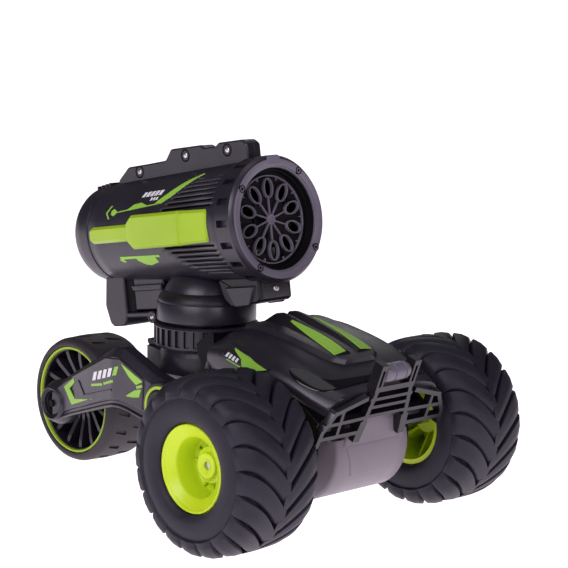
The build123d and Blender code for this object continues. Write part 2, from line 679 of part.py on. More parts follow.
def cannon():
    save("turret_head", turret_head())
    half = barrel_half()
    save("barrel_shell_left", CANNON * half)
    save("barrel_shell_right", CANNON * mirrored(half))
    save("shell_screws", CANNON * shell_screws())
    save("muzzle_ring", CANNON * muzzle_ring())
    save("face_plate", CANNON * face_plate())
    save("face_screws", CANNON * face_screws())
    save("bubble_loops", CANNON * bubble_loops())
    save("wiper", CANNON * wiper())
    save("wiper_motor", CANNON * motor_along_barrel(7, 14.6, 40))
    save("fan_wheel", CANNON * fan_wheel())
    save("fan_motor", CANNON * motor_along_barrel(10, 59, 84))
    save("solution_tray", CANNON * solution_tray())
    save("tail_cap", CANNON * tail_cap())
    save("filler_plug", CANNON * filler_plug())
    save("side_bar_left", CANNON * side_bar())
    save("side_bar_right", CANNON * mirrored(side_bar()))
    rear_tray, chin_bracket = keel()
    save("rear_tray", rear_tray)
    save("chin_bracket", chin_bracket)


os.makedirs("parts", exist_ok=True)
for wheel_side in (-1, 1):
    front_wheel(wheel_side)
chassis()
arms()
rear_wheel()
turret_base()
cannon()
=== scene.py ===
import json
import math
import bmesh
import bpy
import numpy as np
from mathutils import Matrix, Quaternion, Vector


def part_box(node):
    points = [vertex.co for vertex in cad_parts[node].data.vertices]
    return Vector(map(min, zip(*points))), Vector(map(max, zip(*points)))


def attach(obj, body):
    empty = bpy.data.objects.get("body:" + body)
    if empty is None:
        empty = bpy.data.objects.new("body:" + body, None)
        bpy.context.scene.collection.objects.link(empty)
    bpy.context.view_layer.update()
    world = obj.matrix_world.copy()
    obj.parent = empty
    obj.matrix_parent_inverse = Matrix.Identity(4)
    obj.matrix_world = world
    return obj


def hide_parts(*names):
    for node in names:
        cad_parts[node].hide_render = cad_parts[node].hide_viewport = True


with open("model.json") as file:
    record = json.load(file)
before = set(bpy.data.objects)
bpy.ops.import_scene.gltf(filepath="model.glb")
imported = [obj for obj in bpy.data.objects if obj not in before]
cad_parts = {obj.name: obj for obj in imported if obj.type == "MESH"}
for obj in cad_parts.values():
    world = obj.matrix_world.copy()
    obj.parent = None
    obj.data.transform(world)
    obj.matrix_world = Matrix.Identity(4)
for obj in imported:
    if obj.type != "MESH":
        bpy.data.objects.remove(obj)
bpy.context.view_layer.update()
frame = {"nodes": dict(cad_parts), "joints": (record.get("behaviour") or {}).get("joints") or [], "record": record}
print("frame loaded:", len(frame["nodes"]), "nodes")

mm = 0.001
tau = 2 * math.pi


# ---- where things are, in millimetres, read from the frame ----
def boxOf(node):
    low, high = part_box(node)
    return np.array(low) / mm, np.array(high) / mm


def centreOf(node):
    low, high = boxOf(node)
    return (low + high) / 2


def jointNamed(name):
    return next(joint for joint in frame["joints"] if joint["name"] == name)


frontWheelAt = centreOf("tyre_front_left")
frontRadius = (boxOf("tyre_front_left")[1] - boxOf("tyre_front_left")[0])[2] / 2
frontHalf = (boxOf("tyre_front_left")[1] - boxOf("tyre_front_left")[0])[1] / 2
rearWheelAt = centreOf("tyre_rear")
rearRadius = (boxOf("tyre_rear")[1] - boxOf("tyre_rear")[0])[2] / 2
rearHalf = (boxOf("tyre_rear")[1] - boxOf("tyre_rear")[0])[1] / 2
pivotAt = np.array(jointNamed("fold")["pos_m"]) / mm
neckX = jointNamed("cannon_pan")["pos_m"][0] / mm
axleX = frontWheelAt[0]
barrelAxis = np.array(jointNamed("wiper_spin")["axis"])  # forwards, out of the muzzle
muzzleAt = np.array(jointNamed("wiper_spin")["pos_m"]) / mm + barrelAxis * 10.5


# ---- local frames: a row of points (n, 3) goes to the car's own frame ----
def framed(origin, x, y, z):
    axes = np.array([x, y, z], float)
    return lambda points: np.asarray(points, float) @ axes + np.asarray(origin, float)


carPlace = framed((axleX, 0, 0), (1, 0, 0), (0, 1, 0), (0, 0, 1))  # x counted from the front axle
barrelUp = np.array([-barrelAxis[2], 0, barrelAxis[0]])
barrelPlace = framed(muzzleAt, -barrelAxis, (0, -1, 0), barrelUp)  # x back, y to the car's right, z up


def wheelPlace(centre, side):
    # z points out of the car on that side, x forwards
    return framed(centre, (1, 0, 0), (0, 0, -side), (0, side, 0))


def sidePlace(side):
    # y is the distance out from the car's middle plane on that side
    return framed((axleX, 0, 0), (1, 0, 0), (0, side, 0), (0, 0, 1))


def spun(turn):
    # a matrix that turns rows of points about the z axis
    c, s = math.cos(turn), math.sin(turn)
    return np.array([[c, s, 0], [-s, c, 0], [0, 0, 1]])


def shifted(place, offset, order=(0, 1, 2)):
    # a frame whose points first have their axes reordered and are then moved by the offset
    return lambda points: place(np.asarray(points, float)[..., list(order)] + offset)


def barrelSide(side):
    # the barrel's frame with y counted out from its middle on that side; side 1 is the car's left
    return lambda points: barrelPlace(np.asarray(points, float) * (1, -side, 1))


def around(radius, angle, height):
    # points at those distances from the z axis
    return np.stack([radius * np.cos(angle), radius * np.sin(angle), height + 0 * angle], -1)


# ---- curves ----
def cubic(t, start, end, startSlope, endSlope):
    # the cubic that leaves start and reaches end with the given slopes, t from 0 to 1
    blend = 2 * t**3 - 3 * t**2
    ends = (blend + 1) * start - blend * end
    return ends + (t**3 - 2 * t**2 + t) * startSlope + (t**3 - t**2) * endSlope


def curveThrough(points, count):
    # a cubic through the points: each stretch blends its two ends and the slopes there
    p = np.asarray(points, float)
    slopes = np.gradient(p, axis=0)
    at = np.linspace(0, len(p) - 1, count)
    i = np.minimum(at.astype(int), len(p) - 2)
    t = (at - i)[:, None]
    return cubic(t, p[i], p[i + 1], slopes[i], slopes[i + 1])


def tableAt(table, x):
    # rows of (x, values...) read at each x, with smooth cubic steps between the rows
    rows = np.asarray(sorted(table), float)
    xs, values = rows[:, 0], rows[:, 1:]
    slopes = np.gradient(values, xs, axis=0)
    i = np.clip(np.searchsorted(xs, x) - 1, 0, len(xs) - 2)
    step = (xs[i + 1] - xs[i])[:, None]
    t = (np.asarray(x) - xs[i])[:, None] / step
    return cubic(t, values[i], values[i + 1], step * slopes[i], step * slopes[i + 1])


def divided(points, steps):
    # straight runs cut into equal steps, corners kept
    p = np.asarray(points, float)
    at = np.linspace(0, len(p) - 1, (len(p) - 1) * steps + 1)
    return np.stack([np.interp(at, np.arange(len(p)), p[:, k]) for k in range(p.shape[1])], 1)


def rounded(points, radius, steps=4):
    # each corner of a closed outline becomes a short parabola between its two sides
    p = np.asarray(points, float)
    before, after = np.roll(p, 1, 0) - p, np.roll(p, -1, 0) - p
    spans = [np.linalg.norm(v, axis=1, keepdims=True) for v in (before, after)]
    cuts = [np.minimum(radius, span * 0.45) for span in spans]
    start, end = p + before / spans[0] * cuts[0], p + after / spans[1] * cuts[1]
    t = np.linspace(0, 1, steps)[None, :, None]
    arcs = (1 - t) ** 2 * start[:, None] + 2 * t * (1 - t) * p[:, None] + t**2 * end[:, None]
    return arcs.reshape(-1, 2)


def drawnIn(outline, distance):
    # a closed outline moved inwards by the distance, corners mitred
    p = np.asarray(outline, float)
    area = np.sum(p[:, 0] * np.roll(p[:, 1], -1) - np.roll(p[:, 0], -1) * p[:, 1])
    edge = np.roll(p, -1, 0) - p
    edge /= np.linalg.norm(edge, axis=1, keepdims=True) + 1e-12
    normal = np.stack([-edge[:, 1], edge[:, 0]], 1) * (1 if area > 0 else -1)
    both = normal + np.roll(normal, 1, 0)
    both /= np.maximum(np.sum(both**2, 1, keepdims=True) / 2, 0.25)
    return p + both * distance


# ---- shells: (points in millimetres, list of face arrays) ----
def gridFaces(rows, columns, wrapRows=False, wrapColumns=False):
    # the four corner numbers of every cell of a grid of points
    i = np.arange(rows if wrapRows else rows - 1)[:, None]
    j = np.arange(columns if wrapColumns else columns - 1)[None, :]
    nextI, nextJ = (i + 1) % rows, (j + 1) % columns
    corners = [i * columns + j, i * columns + nextJ, nextI * columns + nextJ, nextI * columns + j]
    return np.stack([c + 0 * (i + j) for c in corners], -1).reshape(-1, 4)


def skin(grid, wrapRows=False, wrapColumns=False, capped=False, dropped=None):
    # quads over a grid of points; capped closes its first and last rows
    rows, columns = grid.shape[:2]
    quads = gridFaces(rows, columns, wrapRows, wrapColumns)
    if dropped is not None:
        quads = quads[~dropped.ravel()]
    faces = [quads]
    if capped:
        first = np.arange(columns)[None, :]
        faces += [first, first[:, ::-1] + (rows - 1) * columns]
    return grid.reshape(-1, 3), faces


def turned(profile, count, place):
    # a profile of (radius, height) carried round the z axis
    p = np.asarray(profile, float)
    angle = (np.arange(count) * tau / count)[:, None]
    return skin(place(around(p[:, 0], angle, p[:, 1])), wrapRows=True, wrapColumns=True)


def prism(outline, heights, insets, place, order=(0, 1, 2)):
    # a closed outline stacked at several heights, drawn in by the inset at each;
    # order gives the local axes
    rings = [np.column_stack([drawnIn(outline, inset), np.full(len(outline), high)])
             for high, inset in zip(heights, insets)]
    return skin(place(np.array(rings)[..., list(order)]), wrapColumns=True, capped=True)


def slab(left, right, across, low, high, edge, place):
    # a ruled patch between two edge lines (n, 2), thick from low to high above the surface
    # that place(a, b, height) describes, with a narrow chamfer all round
    left, right = np.asarray(left, float), np.asarray(right, float)
    share = np.linspace(0, 1, across)[None, :, None]
    outer = left[:, None] * (1 - share) + right[:, None] * share
    width = np.linalg.norm(right - left, axis=1, keepdims=True) + 1e-9
    lean = (right - left) / width * np.minimum(edge, width * 0.4)
    inLeft, inRight = left + lean, right - lean
    inner = inLeft[:, None] * (1 - share) + inRight[:, None] * share
    for row, beside in ((0, 1), (-1, -2)):
        along = inner[beside] - inner[row]
        run = np.linalg.norm(along, axis=1, keepdims=True) + 1e-9
        inner[row] += along / run * np.minimum(edge, run * 0.4)
    rows = len(left)
    index = np.arange(rows * across).reshape(rows, across)
    rim = np.concatenate([index[0, :-1], index[:-1, -1], index[-1, :0:-1], index[:0:-1, 0]])
    flat = outer.reshape(-1, 2)
    layers = [(flat, low), (flat[rim], high - edge), (inner.reshape(-1, 2), high)]
    points = np.concatenate([place(p[:, 0], p[:, 1], level) for p, level in layers])
    quads = gridFaces(rows, across)
    size, loop = rows * across, len(rim)
    here, there = np.arange(loop), (np.arange(loop) + 1) % loop
    lower = np.stack([rim[here], rim[there], size + there, size + here], 1)
    upper = np.stack([size + here, size + there, size + loop + rim[there], size + loop + rim[here]], 1)
    return points, [quads[:, ::-1], quads + size + loop, lower, upper]


def ruled(left, right, steps, across, low, high, edge, place):
    # a slab between two edge lines given by their corners
    return slab(divided(left, steps), divided(right, steps), across, low, high, edge, place)


def makeMesh(name, shells):
    # the shells as one mesh, in metres
    points = np.concatenate([shell[0] for shell in shells])
    starts = np.cumsum([0] + [len(shell[0]) for shell in shells])
    blocks = [block + start for shell, start in zip(shells, starts) for block in shell[1]]
    loops = np.concatenate([block.ravel() for block in blocks])
    sizes = np.concatenate([np.full(len(block), block.shape[1]) for block in blocks])
    mesh = bpy.data.meshes.new(name)
    mesh.vertices.add(len(points))
    mesh.vertices.foreach_set("co", (points * mm).ravel())
    mesh.loops.add(len(loops))
    mesh.loops.foreach_set("vertex_index", loops.astype(np.int32))
    mesh.polygons.add(len(sizes))
    mesh.polygons.foreach_set("loop_start", (np.cumsum(sizes) - sizes).astype(np.int32))
    mesh.update(calc_edges=True)
    mesh.validate()
    return mesh


def tidied(mesh, closed=True, flat=0.0):
    # doubles merged and, on closed shells, faces turned outwards; faces that lie within the angle
    # flat of one plane become one face
    work = bmesh.new()
    work.from_mesh(mesh)
    bmesh.ops.remove_doubles(work, verts=work.verts, dist=2e-6)
    if flat:
        bmesh.ops.dissolve_limit(work, angle_limit=math.radians(flat), verts=work.verts,
                                 edges=work.edges)
    if closed:
        bmesh.ops.recalc_face_normals(work, faces=work.faces)
    work.to_mesh(mesh)
    work.free()


def facedOut(mesh):
    # an open skin's faces all turned to look away from its middle
    count = len(mesh.polygons)
    normals, centres = np.empty(count * 3), np.empty(count * 3)
    mesh.polygons.foreach_get("normal", normals)
    mesh.polygons.foreach_get("center", centres)
    normals, centres = normals.reshape(-1, 3), centres.reshape(-1, 3)
    if np.sum(normals * (centres - centres.mean(0))) < 0:
        mesh.flip_normals()


def shown(name, data):
    obj = bpy.data.objects.new(name, data)
    bpy.context.scene.collection.objects.link(obj)
    return obj


def softened(obj, bevel, sharp):
    # smooth shading up to the angle sharp, and a narrow bevel on the edges if bevel is set
    obj.data.shade_smooth()
    obj.data.set_sharp_from_angle(angle=math.radians(sharp))
    if bevel:
        modifier = obj.modifiers.new("edge", "BEVEL")
        modifier.width = bevel * mm
        modifier.segments = 2
        modifier.limit_method = "ANGLE"
        modifier.angle_limit = math.radians(32)
        modifier.harden_normals = True


def piece(name, shells, finish, body, replaced=(), bevel=0, sharp=30, wall=0):
    # wall gives an open skin its thickness, inwards
    mesh = makeMesh(name, shells)
    tidied(mesh, closed=not wall)
    if wall:
        facedOut(mesh)
    obj = shown(name, mesh)
    mesh.materials.append(finish)
    if wall:
        modifier = obj.modifiers.new("wall", "SOLIDIFY")
        modifier.thickness = wall * mm
        modifier.offset = -1
    softened(obj, bevel, sharp)
    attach(obj, body)
    if replaced:
        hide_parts(*replaced)
    return obj


def refined(node, name, finish, body, bevel=0.35):
    # a frame node's own shape as one merged mesh, with its edges broken
    source = frame["nodes"][node]
    mesh = source.data.copy()
    mesh.name = name
    mesh.materials.clear()
    tidied(mesh, closed=True, flat=0.6)
    obj = shown(name, mesh)
    mesh.materials.append(finish)
    softened(obj, bevel, 24)
    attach(obj, body)
    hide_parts(node)
    return obj


# ---- shader maths ----
class Wire:
    # one output of a shader node; arithmetic on it adds Math nodes
    def __init__(self, recipe, socket):
        self.recipe = recipe
        self.socket = socket

    def math(self, operation, first, second=0.0):
        return self.recipe.add("ShaderNodeMath", {"operation": operation}, {0: first, 1: second})

    def __add__(self, other):
        return self.math("ADD", self, other)

    def __sub__(self, other):
        return self.math("SUBTRACT", self, other)

    def __rsub__(self, other):
        return self.math("SUBTRACT", other, self)

    def __mul__(self, other):
        return self.math("MULTIPLY", self, other)

    __radd__ = __add__
    __rmul__ = __mul__


class Recipe:
    # a material in the making
    def __init__(self, name):
        self.material = bpy.data.materials.new(name)
        self.material.use_nodes = True
        self.tree = self.material.node_tree
        self.tree.nodes.clear()
        self.place = self.add("ShaderNodeTexCoord", pick="Object")

    def add(self, kind, settings=None, sockets=None, pick=0):
        node = self.tree.nodes.new(kind)
        for key, value in (settings or {}).items():
            if key == "stops":
                while len(node.color_ramp.elements) < len(value):
                    node.color_ramp.elements.new(1.0)
                for stop, (at, shade) in zip(node.color_ramp.elements, value):
                    stop.position, stop.color = at, (shade, shade, shade, 1)
            else:
                setattr(node, key, value)
        for key, value in (sockets or {}).items():
            if isinstance(value, Wire):
                self.tree.links.new(value.socket, node.inputs[key])
            else:
                node.inputs[key].default_value = value
        return Wire(self, node.outputs[pick])

    def noise(self, scale, detail=2.0, roughness=0.5, at=None):
        sockets = {"Vector": at or self.place, "Scale": scale, "Detail": detail, "Roughness": roughness}
        return self.add("ShaderNodeTexNoise", {}, sockets)

    def ramp(self, value, stops):
        return self.add("ShaderNodeValToRGB", {"stops": stops}, {"Fac": value})

    def mixed(self, share, first, second):
        return self.add("ShaderNodeMix", {"data_type": "RGBA"}, {0: share, 6: first, 7: second}, pick=2)

    def bump(self, height, strength, distance):
        sockets = {"Height": height, "Strength": strength, "Distance": distance}
        return self.add("ShaderNodeBump", {}, sockets)

    def finished(self, **sockets):
        named = {key.replace("_", " "): value for key, value in sockets.items()}
        shader = self.add("ShaderNodeBsdfPrincipled", {}, named)
        node = self.tree.nodes.new("ShaderNodeOutputMaterial")
        self.tree.links.new(shader.socket, node.inputs["Surface"])
        return self.material


def colour(red, green, blue):
    return (red, green, blue, 1.0)


def plastic(name, look):
    # moulded plastic: slow colour drift, fine moulding grain, and handling marks that change the
    # gloss
    recipe = Recipe(name)
    drift = recipe.ramp(recipe.noise(look.get("drift", 28.0), 3.0), [(0.35, 0.0), (0.7, 1.0)])
    grain = recipe.noise(2600.0, 2.0, 0.6)
    marks = recipe.ramp(recipe.noise(90.0, 6.0, 0.68), [(0.45, 0.0), (0.72, 1.0)])
    flow = recipe.add("ShaderNodeMapping", {}, {"Vector": recipe.place, "Scale": (120.0, 900.0, 120.0)})
    scuffs = recipe.ramp(recipe.noise(3.0, 4.0, 0.7, flow), [(0.62, 0.0), (0.74, 1.0)])
    base = recipe.mixed(drift, look["dark"], look["light"])
    worn = recipe.mixed(scuffs * look.get("scuff", 0.1), base, look.get("scuffed", look["light"]))
    rough = marks * look.get("roughSpan", 0.1) + scuffs * 0.06 + look["rough"]
    height = grain * 0.6 + marks * 0.25
    normal = recipe.bump(height, look.get("bump", 0.18), 0.00006)
    extra = {"Coat_Weight": look["coat"], "Coat_Roughness": 0.12} if "coat" in look else {}
    extra["Specular_IOR_Level"] = look.get("shine", 0.5)
    return recipe.finished(Base_Color=worn, Roughness=rough, Normal=normal, **extra)


def rubber(name, look):
    # tyre rubber: dusty bloom in slow patches, fine pores, a faint blue cast
    recipe = Recipe(name)
    bloom = recipe.ramp(recipe.noise(42.0, 5.0, 0.62), [(0.38, 0.0), (0.75, 1.0)])
    pores = recipe.noise(1900.0, 3.0, 0.7)
    streaks = recipe.noise(240.0, 4.0, 0.6)
    base = recipe.mixed(bloom, look["dark"], look["light"])
    dusted = recipe.mixed(recipe.ramp(streaks, [(0.55, 0.0), (0.8, 1.0)]) * 0.3, base, look["dust"])
    rough = bloom * 0.12 + streaks * 0.08 + look["rough"]
    normal = recipe.bump(pores * 0.7 + streaks * 0.5, 0.3, 0.0001)
    return recipe.finished(Base_Color=dusted, Roughness=rough, Normal=normal,
                           Specular_IOR_Level=look.get("shine", 0.38))


def brushedMetal(name, look):
    # drawn steel: fine lines along one direction over a slow tarnish
    recipe = Recipe(name)
    lines = recipe.add("ShaderNodeMapping", {}, {"Vector": recipe.place, "Scale": (2600.0, 160.0, 2600.0)})
    drawn = recipe.noise(1.0, 3.0, 0.6, lines)
    tarnish = recipe.ramp(recipe.noise(60.0, 4.0), [(0.4, 0.0), (0.75, 1.0)])
    base = recipe.mixed(tarnish, look["light"], look["dark"])
    normal = recipe.bump(drawn, 0.16, 0.00004)
    rough = drawn * 0.16 + tarnish * 0.12 + look["rough"]
    return recipe.finished(Base_Color=base, Metallic=1.0, Roughness=rough, Normal=normal)


def circuitBoard(name):
    # solder mask with a net of copper tracks that stand slightly proud
    recipe = Recipe(name)
    cells = recipe.add("ShaderNodeTexVoronoi", {"distance": "MANHATTAN", "feature": "F1"},
                       {"Vector": recipe.place, "Scale": 230.0})
    tracks = recipe.ramp(cells, [(0.42, 0.0), (0.5, 1.0)])
    mask = recipe.mixed(tracks, colour(0.006, 0.07, 0.03), colour(0.02, 0.17, 0.07))
    normal = recipe.bump(tracks, 0.3, 0.00008)
    return recipe.finished(Base_Color=mask, Roughness=0.36 + recipe.noise(300.0) * 0.1, Normal=normal)


def clearPlastic(name, look):
    # translucent moulding: cloudy inside, glossy outside
    recipe = Recipe(name)
    cloud = recipe.ramp(recipe.noise(120.0, 4.0), [(0.3, 0.0), (0.8, 1.0)])
    base = recipe.mixed(cloud, look["light"], look["dark"])
    return recipe.finished(Base_Color=base, Roughness=0.14 + cloud * 0.1, Transmission_Weight=0.55,
                           IOR=1.46, Normal=recipe.bump(cloud, 0.1, 0.0001))


shellLook = {"dark": colour(0.012, 0.0098, 0.0165), "light": colour(0.018, 0.0148, 0.0235),
             "rough": 0.34, "roughSpan": 0.1, "scuffed": colour(0.045, 0.039, 0.052), "scuff": 0.12,
             "shine": 0.5}
blackLook = {"dark": colour(0.005, 0.004, 0.0065), "light": colour(0.0085, 0.007, 0.0105),
             "rough": 0.4, "scuffed": colour(0.03, 0.027, 0.034), "shine": 0.36}
# painted shade: a near-black, matt finish for wells, holes, recesses, the vent sleeve, the loop disc, the rear
# bulkhead and the rear axle, standing in for the shade they sit in
paintedShadeLook = {"dark": colour(0.0025, 0.0022, 0.003), "light": colour(0.0045, 0.004, 0.005), "rough": 0.6,
           "shine": 0.12, "scuff": 0.05}
bellyLook = {"dark": colour(0.16, 0.137, 0.16), "light": colour(0.19, 0.164, 0.19), "rough": 0.42,
             "scuffed": colour(0.18, 0.16, 0.18), "shine": 0.4}
glossLook = {"dark": colour(0.004, 0.0035, 0.005), "light": colour(0.007, 0.0065, 0.009),
             "rough": 0.14, "roughSpan": 0.05, "bump": 0.05, "coat": 0.12,
             "scuffed": colour(0.015, 0.014, 0.018), "shine": 0.3}
limeLook = {"dark": colour(0.27, 0.43, 0.01), "light": colour(0.33, 0.49, 0.018), "rough": 0.34,
            "bump": 0.1, "scuffed": colour(0.45, 0.6, 0.1), "scuff": 0.08, "drift": 18.0, "shine": 0.4}
rimLook = {"dark": colour(0.46, 0.62, 0.01), "light": colour(0.54, 0.7, 0.015), "rough": 0.36,
           "bump": 0.1, "scuffed": colour(0.56, 0.7, 0.1), "scuff": 0.06, "drift": 20.0, "shine": 0.4}
inkLook = {"dark": colour(0.21, 0.44, 0.04), "light": colour(0.27, 0.51, 0.055), "rough": 0.44,
           "bump": 0.08, "scuffed": colour(0.1, 0.22, 0.03), "scuff": 0.1, "shine": 0.35}
rubberLook = {"dark": colour(0.0115, 0.01, 0.017), "light": colour(0.021, 0.0185, 0.03), "rough": 0.46,
              "shine": 0.26, "dust": colour(0.038, 0.034, 0.05)}
rearRubberLook = {"dark": colour(0.022, 0.018, 0.022), "light": colour(0.034, 0.028, 0.033),
                  "rough": 0.5, "dust": colour(0.055, 0.048, 0.053)}
printLook = {"dark": colour(0.62, 0.62, 0.62), "light": colour(0.74, 0.74, 0.74), "rough": 0.45,
             "bump": 0.08, "scuffed": colour(0.4, 0.4, 0.4)}
faceLook = {"dark": colour(0.112, 0.1, 0.13), "light": colour(0.142, 0.128, 0.165), "rough": 0.36,
            "scuffed": colour(0.15, 0.14, 0.17), "shine": 0.4}
guardLook = {"dark": colour(0.006, 0.005, 0.0075), "light": colour(0.01, 0.0088, 0.012), "rough": 0.3,
             "scuffed": colour(0.07, 0.064, 0.074), "scuff": 0.25, "shine": 0.48}
finishes = {
    "shell": plastic("satinShell", shellLook),
    "black": plastic("blackPlastic", blackLook),
    "paintedShade": plastic("paintedShadeBlack", paintedShadeLook),
    "face": plastic("faceGrey", faceLook),
    "guard": plastic("guardGrey", guardLook),
    "print": plastic("paleInk", printLook),
    "belly": plastic("bellyGrey", bellyLook),
    "gloss": plastic("glossBlack", glossLook),
    "lime": plastic("limePlastic", limeLook),
    "rim": plastic("rimLime", rimLook),
    "ink": plastic("greenInk", inkLook),
    "rubber": rubber("tyreRubber", rubberLook),
    "rearRubber": rubber("rearRubber", rearRubberLook),
    "steel": brushedMetal("steel", {"light": colour(0.62, 0.61, 0.6), "dark": colour(0.36, 0.35, 0.34),
                                    "rough": 0.22}),
    "can": brushedMetal("motorCan", {"light": colour(0.5, 0.5, 0.5), "dark": colour(0.3, 0.3, 0.3),
                                     "rough": 0.3}),
    "board": circuitBoard("boardGreen"),
    "wrap": plastic("cellWrap", {"dark": colour(0.02, 0.09, 0.3), "light": colour(0.03, 0.12, 0.38),
                                 "rough": 0.28, "bump": 0.06}),
    "red": plastic("switchRed", {"dark": colour(0.4, 0.01, 0.008), "light": colour(0.5, 0.016, 0.012),
                                 "rough": 0.36}),
    "clear": clearPlastic("tankClear", {"light": colour(0.75, 0.76, 0.74),
                                        "dark": colour(0.5, 0.51, 0.5)}),
}
slotFinish = {"shell_charcoal": "shell", "shell_black": "black", "belly_grey": "belly",
              "gloss_black": "gloss", "lime": "lime", "tyre_rubber": "rubber", "steel": "steel",
              "motor_can": "can", "board_green": "board", "cell_wrap": "wrap", "switch_red": "red",
              "tank_clear": "clear"}
print("finishes made:", len(finishes))


# ---- front wheels ----
frontTyre = {"bars": 20, "sweep": 21.0, "barBase": 13.5, "barTop": 11.8, "bead": 22.0, "carcass": 40.4}


def frontTyreShells(place, lead):
    # the carcass is a rounded profile turned about the axle; each bar is a closed section carried
    # from the middle of the tread over the shoulder, its place round the tyre falling back as
    # (1 - share across) to the power 1.5
    r, half, outer = frontTyre["carcass"], frontHalf, frontRadius
    bead = frontTyre["bead"]
    side = [(bead, half - 4), (bead + 1, half - 1.6), (26.0, half - 0.2), (30.5, half - 0.1),
            (35.0, half - 1.4), (38.4, half - 3.8), (r - 0.2, half - 7), (r, half - 11)]
    outside = curveThrough(side, 34)
    outline = np.concatenate([outside, (outside * (1, -1))[::-1], [(bead, 4 - half), (bead - 0.1, 0)]])
    shells = [turned(outline, 160, place)]
    count = 22
    topCurve = curveThrough([(-1.4, outer), (5, outer), (12, outer - 0.2), (17.5, outer - 1.0),
                             (21.6, outer - 3.0), (24.2, outer - 6.2), (half - 0.1, outer - 9.6)], count)
    baseCurve = curveThrough([(-1.2, r - 1.6), (5, r - 1.6), (12, r - 1.6), (16.5, r - 2.2),
                              (19.6, r - 3.6), (21.6, r - 5.2), (22.6, r - 7)], count)
    share = np.clip(topCurve[:, 0] / half, 0, 1)
    back = frontTyre["sweep"] * (1 - share) ** 1.5
    grow = np.interp(share, [0, 0.5, 1], [0.9, 1.0, 0.92])
    wide, narrow = frontTyre["barBase"] / 2, frontTyre["barTop"] / 2
    section = [(-wide, 0.0), (-narrow - 0.2, 0.82), (-narrow + 0.5, 0.97), (0, 1.0), (narrow - 1.0, 0.93),
               (narrow, 0.8), (wide, 0.0)]
    rows = []
    for across, rise in section:
        curve = baseCurve + (topCurve - baseCurve) * rise
        angle = (across * grow + back) * lead / curve[:, 1]
        rows.append(np.stack([angle, curve[:, 1], curve[:, 0]], -1))
    bar = np.stack(rows, 1)
    pitch = tau / frontTyre["bars"]
    for mirror in (1, -1):
        phase = 0.0 if mirror > 0 else pitch / 2
        turns = np.arange(frontTyre["bars"]) * pitch + phase
        for turn in turns:
            angle = bar[..., 0] + turn
            grid = around(bar[..., 1], angle, bar[..., 2] * mirror)
            shells.append(skin(place(grid), wrapColumns=True, capped=True))
    return shells


frontRim = {"slots": 12, "slotHalf": 0.075, "webs": 6, "webLag": 0.26}


def pocketed(profile, depth, count, halfWidth, place, between=6, phase=0.0):
    # a turned profile whose marked points (third value 1) sink by depth (radius, height) in count
    # windows; each window's sides are two columns a hair apart, so its walls are steep
    p = np.asarray(profile, float)
    pitch, hair = tau / count, 0.004
    local = np.concatenate([[-halfWidth - hair, -halfWidth, 0, halfWidth, halfWidth + hair],
                            np.linspace(halfWidth + hair, pitch - halfWidth - hair, between + 2)[1:-1]])
    sunk = np.concatenate([[0, 1, 1, 1, 0], np.zeros(between)])
    turns = (np.arange(count)[:, None] * pitch + local + phase).ravel()
    mask = np.tile(sunk, count)[:, None] * p[:, 2]
    angle = turns[:, None]
    radius = p[:, 0] - mask * depth[0]
    height = p[:, 1] - mask * depth[1]
    return skin(place(around(radius, angle, height)), wrapRows=True, wrapColumns=True)


def frontRimShells(place):
    # a dished rim turned about the axle, with slots sunk into its floor and webs behind
    top = frontHalf - 2.5
    plain = [(2.1, -6), (7.2, -6), (7.5, -5.7), (7.5, 2.6), (15.6, 2.8), (16.9, 12.8), (19.2, 15),
             (19.2, 1.5 - top), (19.5, 1 - top), (21.9, 1 - top), (21.9, top - 1), (21.5, top - 0.2),
             (20.9, top), (20.4, top - 0.2), (19.9, top - 1.0), (19.6, top - 1.3), (15.4, 18.9),
             (15.0, 18.3), (14.8, 17.4), (14.1, 9), (13.9, 7.2), (13.4, 6.5), (13.3, 6.45)]
    inner = [(10.75, 6.4), (9.8, 6.4), (9.3, 6.8), (9.1, 9.6), (8.7, 10.1), (6.9, 10.2), (6.5, 10.5),
             (6.3, 12.3), (5.9, 12.7), (3.3, 12.7), (2.9, 12.4), (2.1, 12.0)]
    slotted = [(13.25, 6.4, 1), (10.8, 6.4, 1)]
    profile = [(*at, 0) for at in plain] + slotted + [(*at, 0) for at in inner]
    shells = [pocketed(profile, (0, 3.0), frontRim["slots"], frontRim["slotHalf"], place)]
    web = [(7.2, -5.6), (19.4, -17.5), (19.4, 2.9), (7.2, 2.9)]
    flat = prism(rounded(web, 0.8), (-0.8, 0.8), (0, 0), np.array, (0, 2, 1))
    rib = prism(rounded([(8.9, -0.7), (13.9, -0.55), (13.9, 0.55), (8.9, 0.7)], 0.3),
                (6.2, 7.6, 8.0), (0, 0, 0.3), np.array)
    for (points, faces), lag in ((flat, frontRim["webLag"]), (rib, 0.0)):
        for turn in np.arange(frontRim["webs"]) * tau / frontRim["webs"] + lag:
            shells.append((place(points @ spun(turn)), faces))
    return shells


def frontWheels():
    for side, name in ((1, "left"), (-1, "right")):
        centre = frontWheelAt * (1, side, 1)
        place = wheelPlace(centre, side)
        body = f"front_{name}_wheel"
        piece(f"frontTyre_{name}", frontTyreShells(place, side), finishes["rubber"], body,
              [f"tyre_front_{name}"], sharp=38)
        piece(f"frontRim_{name}", frontRimShells(place), finishes["rim"], body,
              [f"rim_front_{name}"], sharp=38)
    print("front wheels made")


# ---- rear wheel ----
rearTread = {"dashes": 19, "rows": ((1.6, 10.6), (-10.2, -2.6)), "half": 0.036, "depth": 1.1,
             "slant": 0.009}


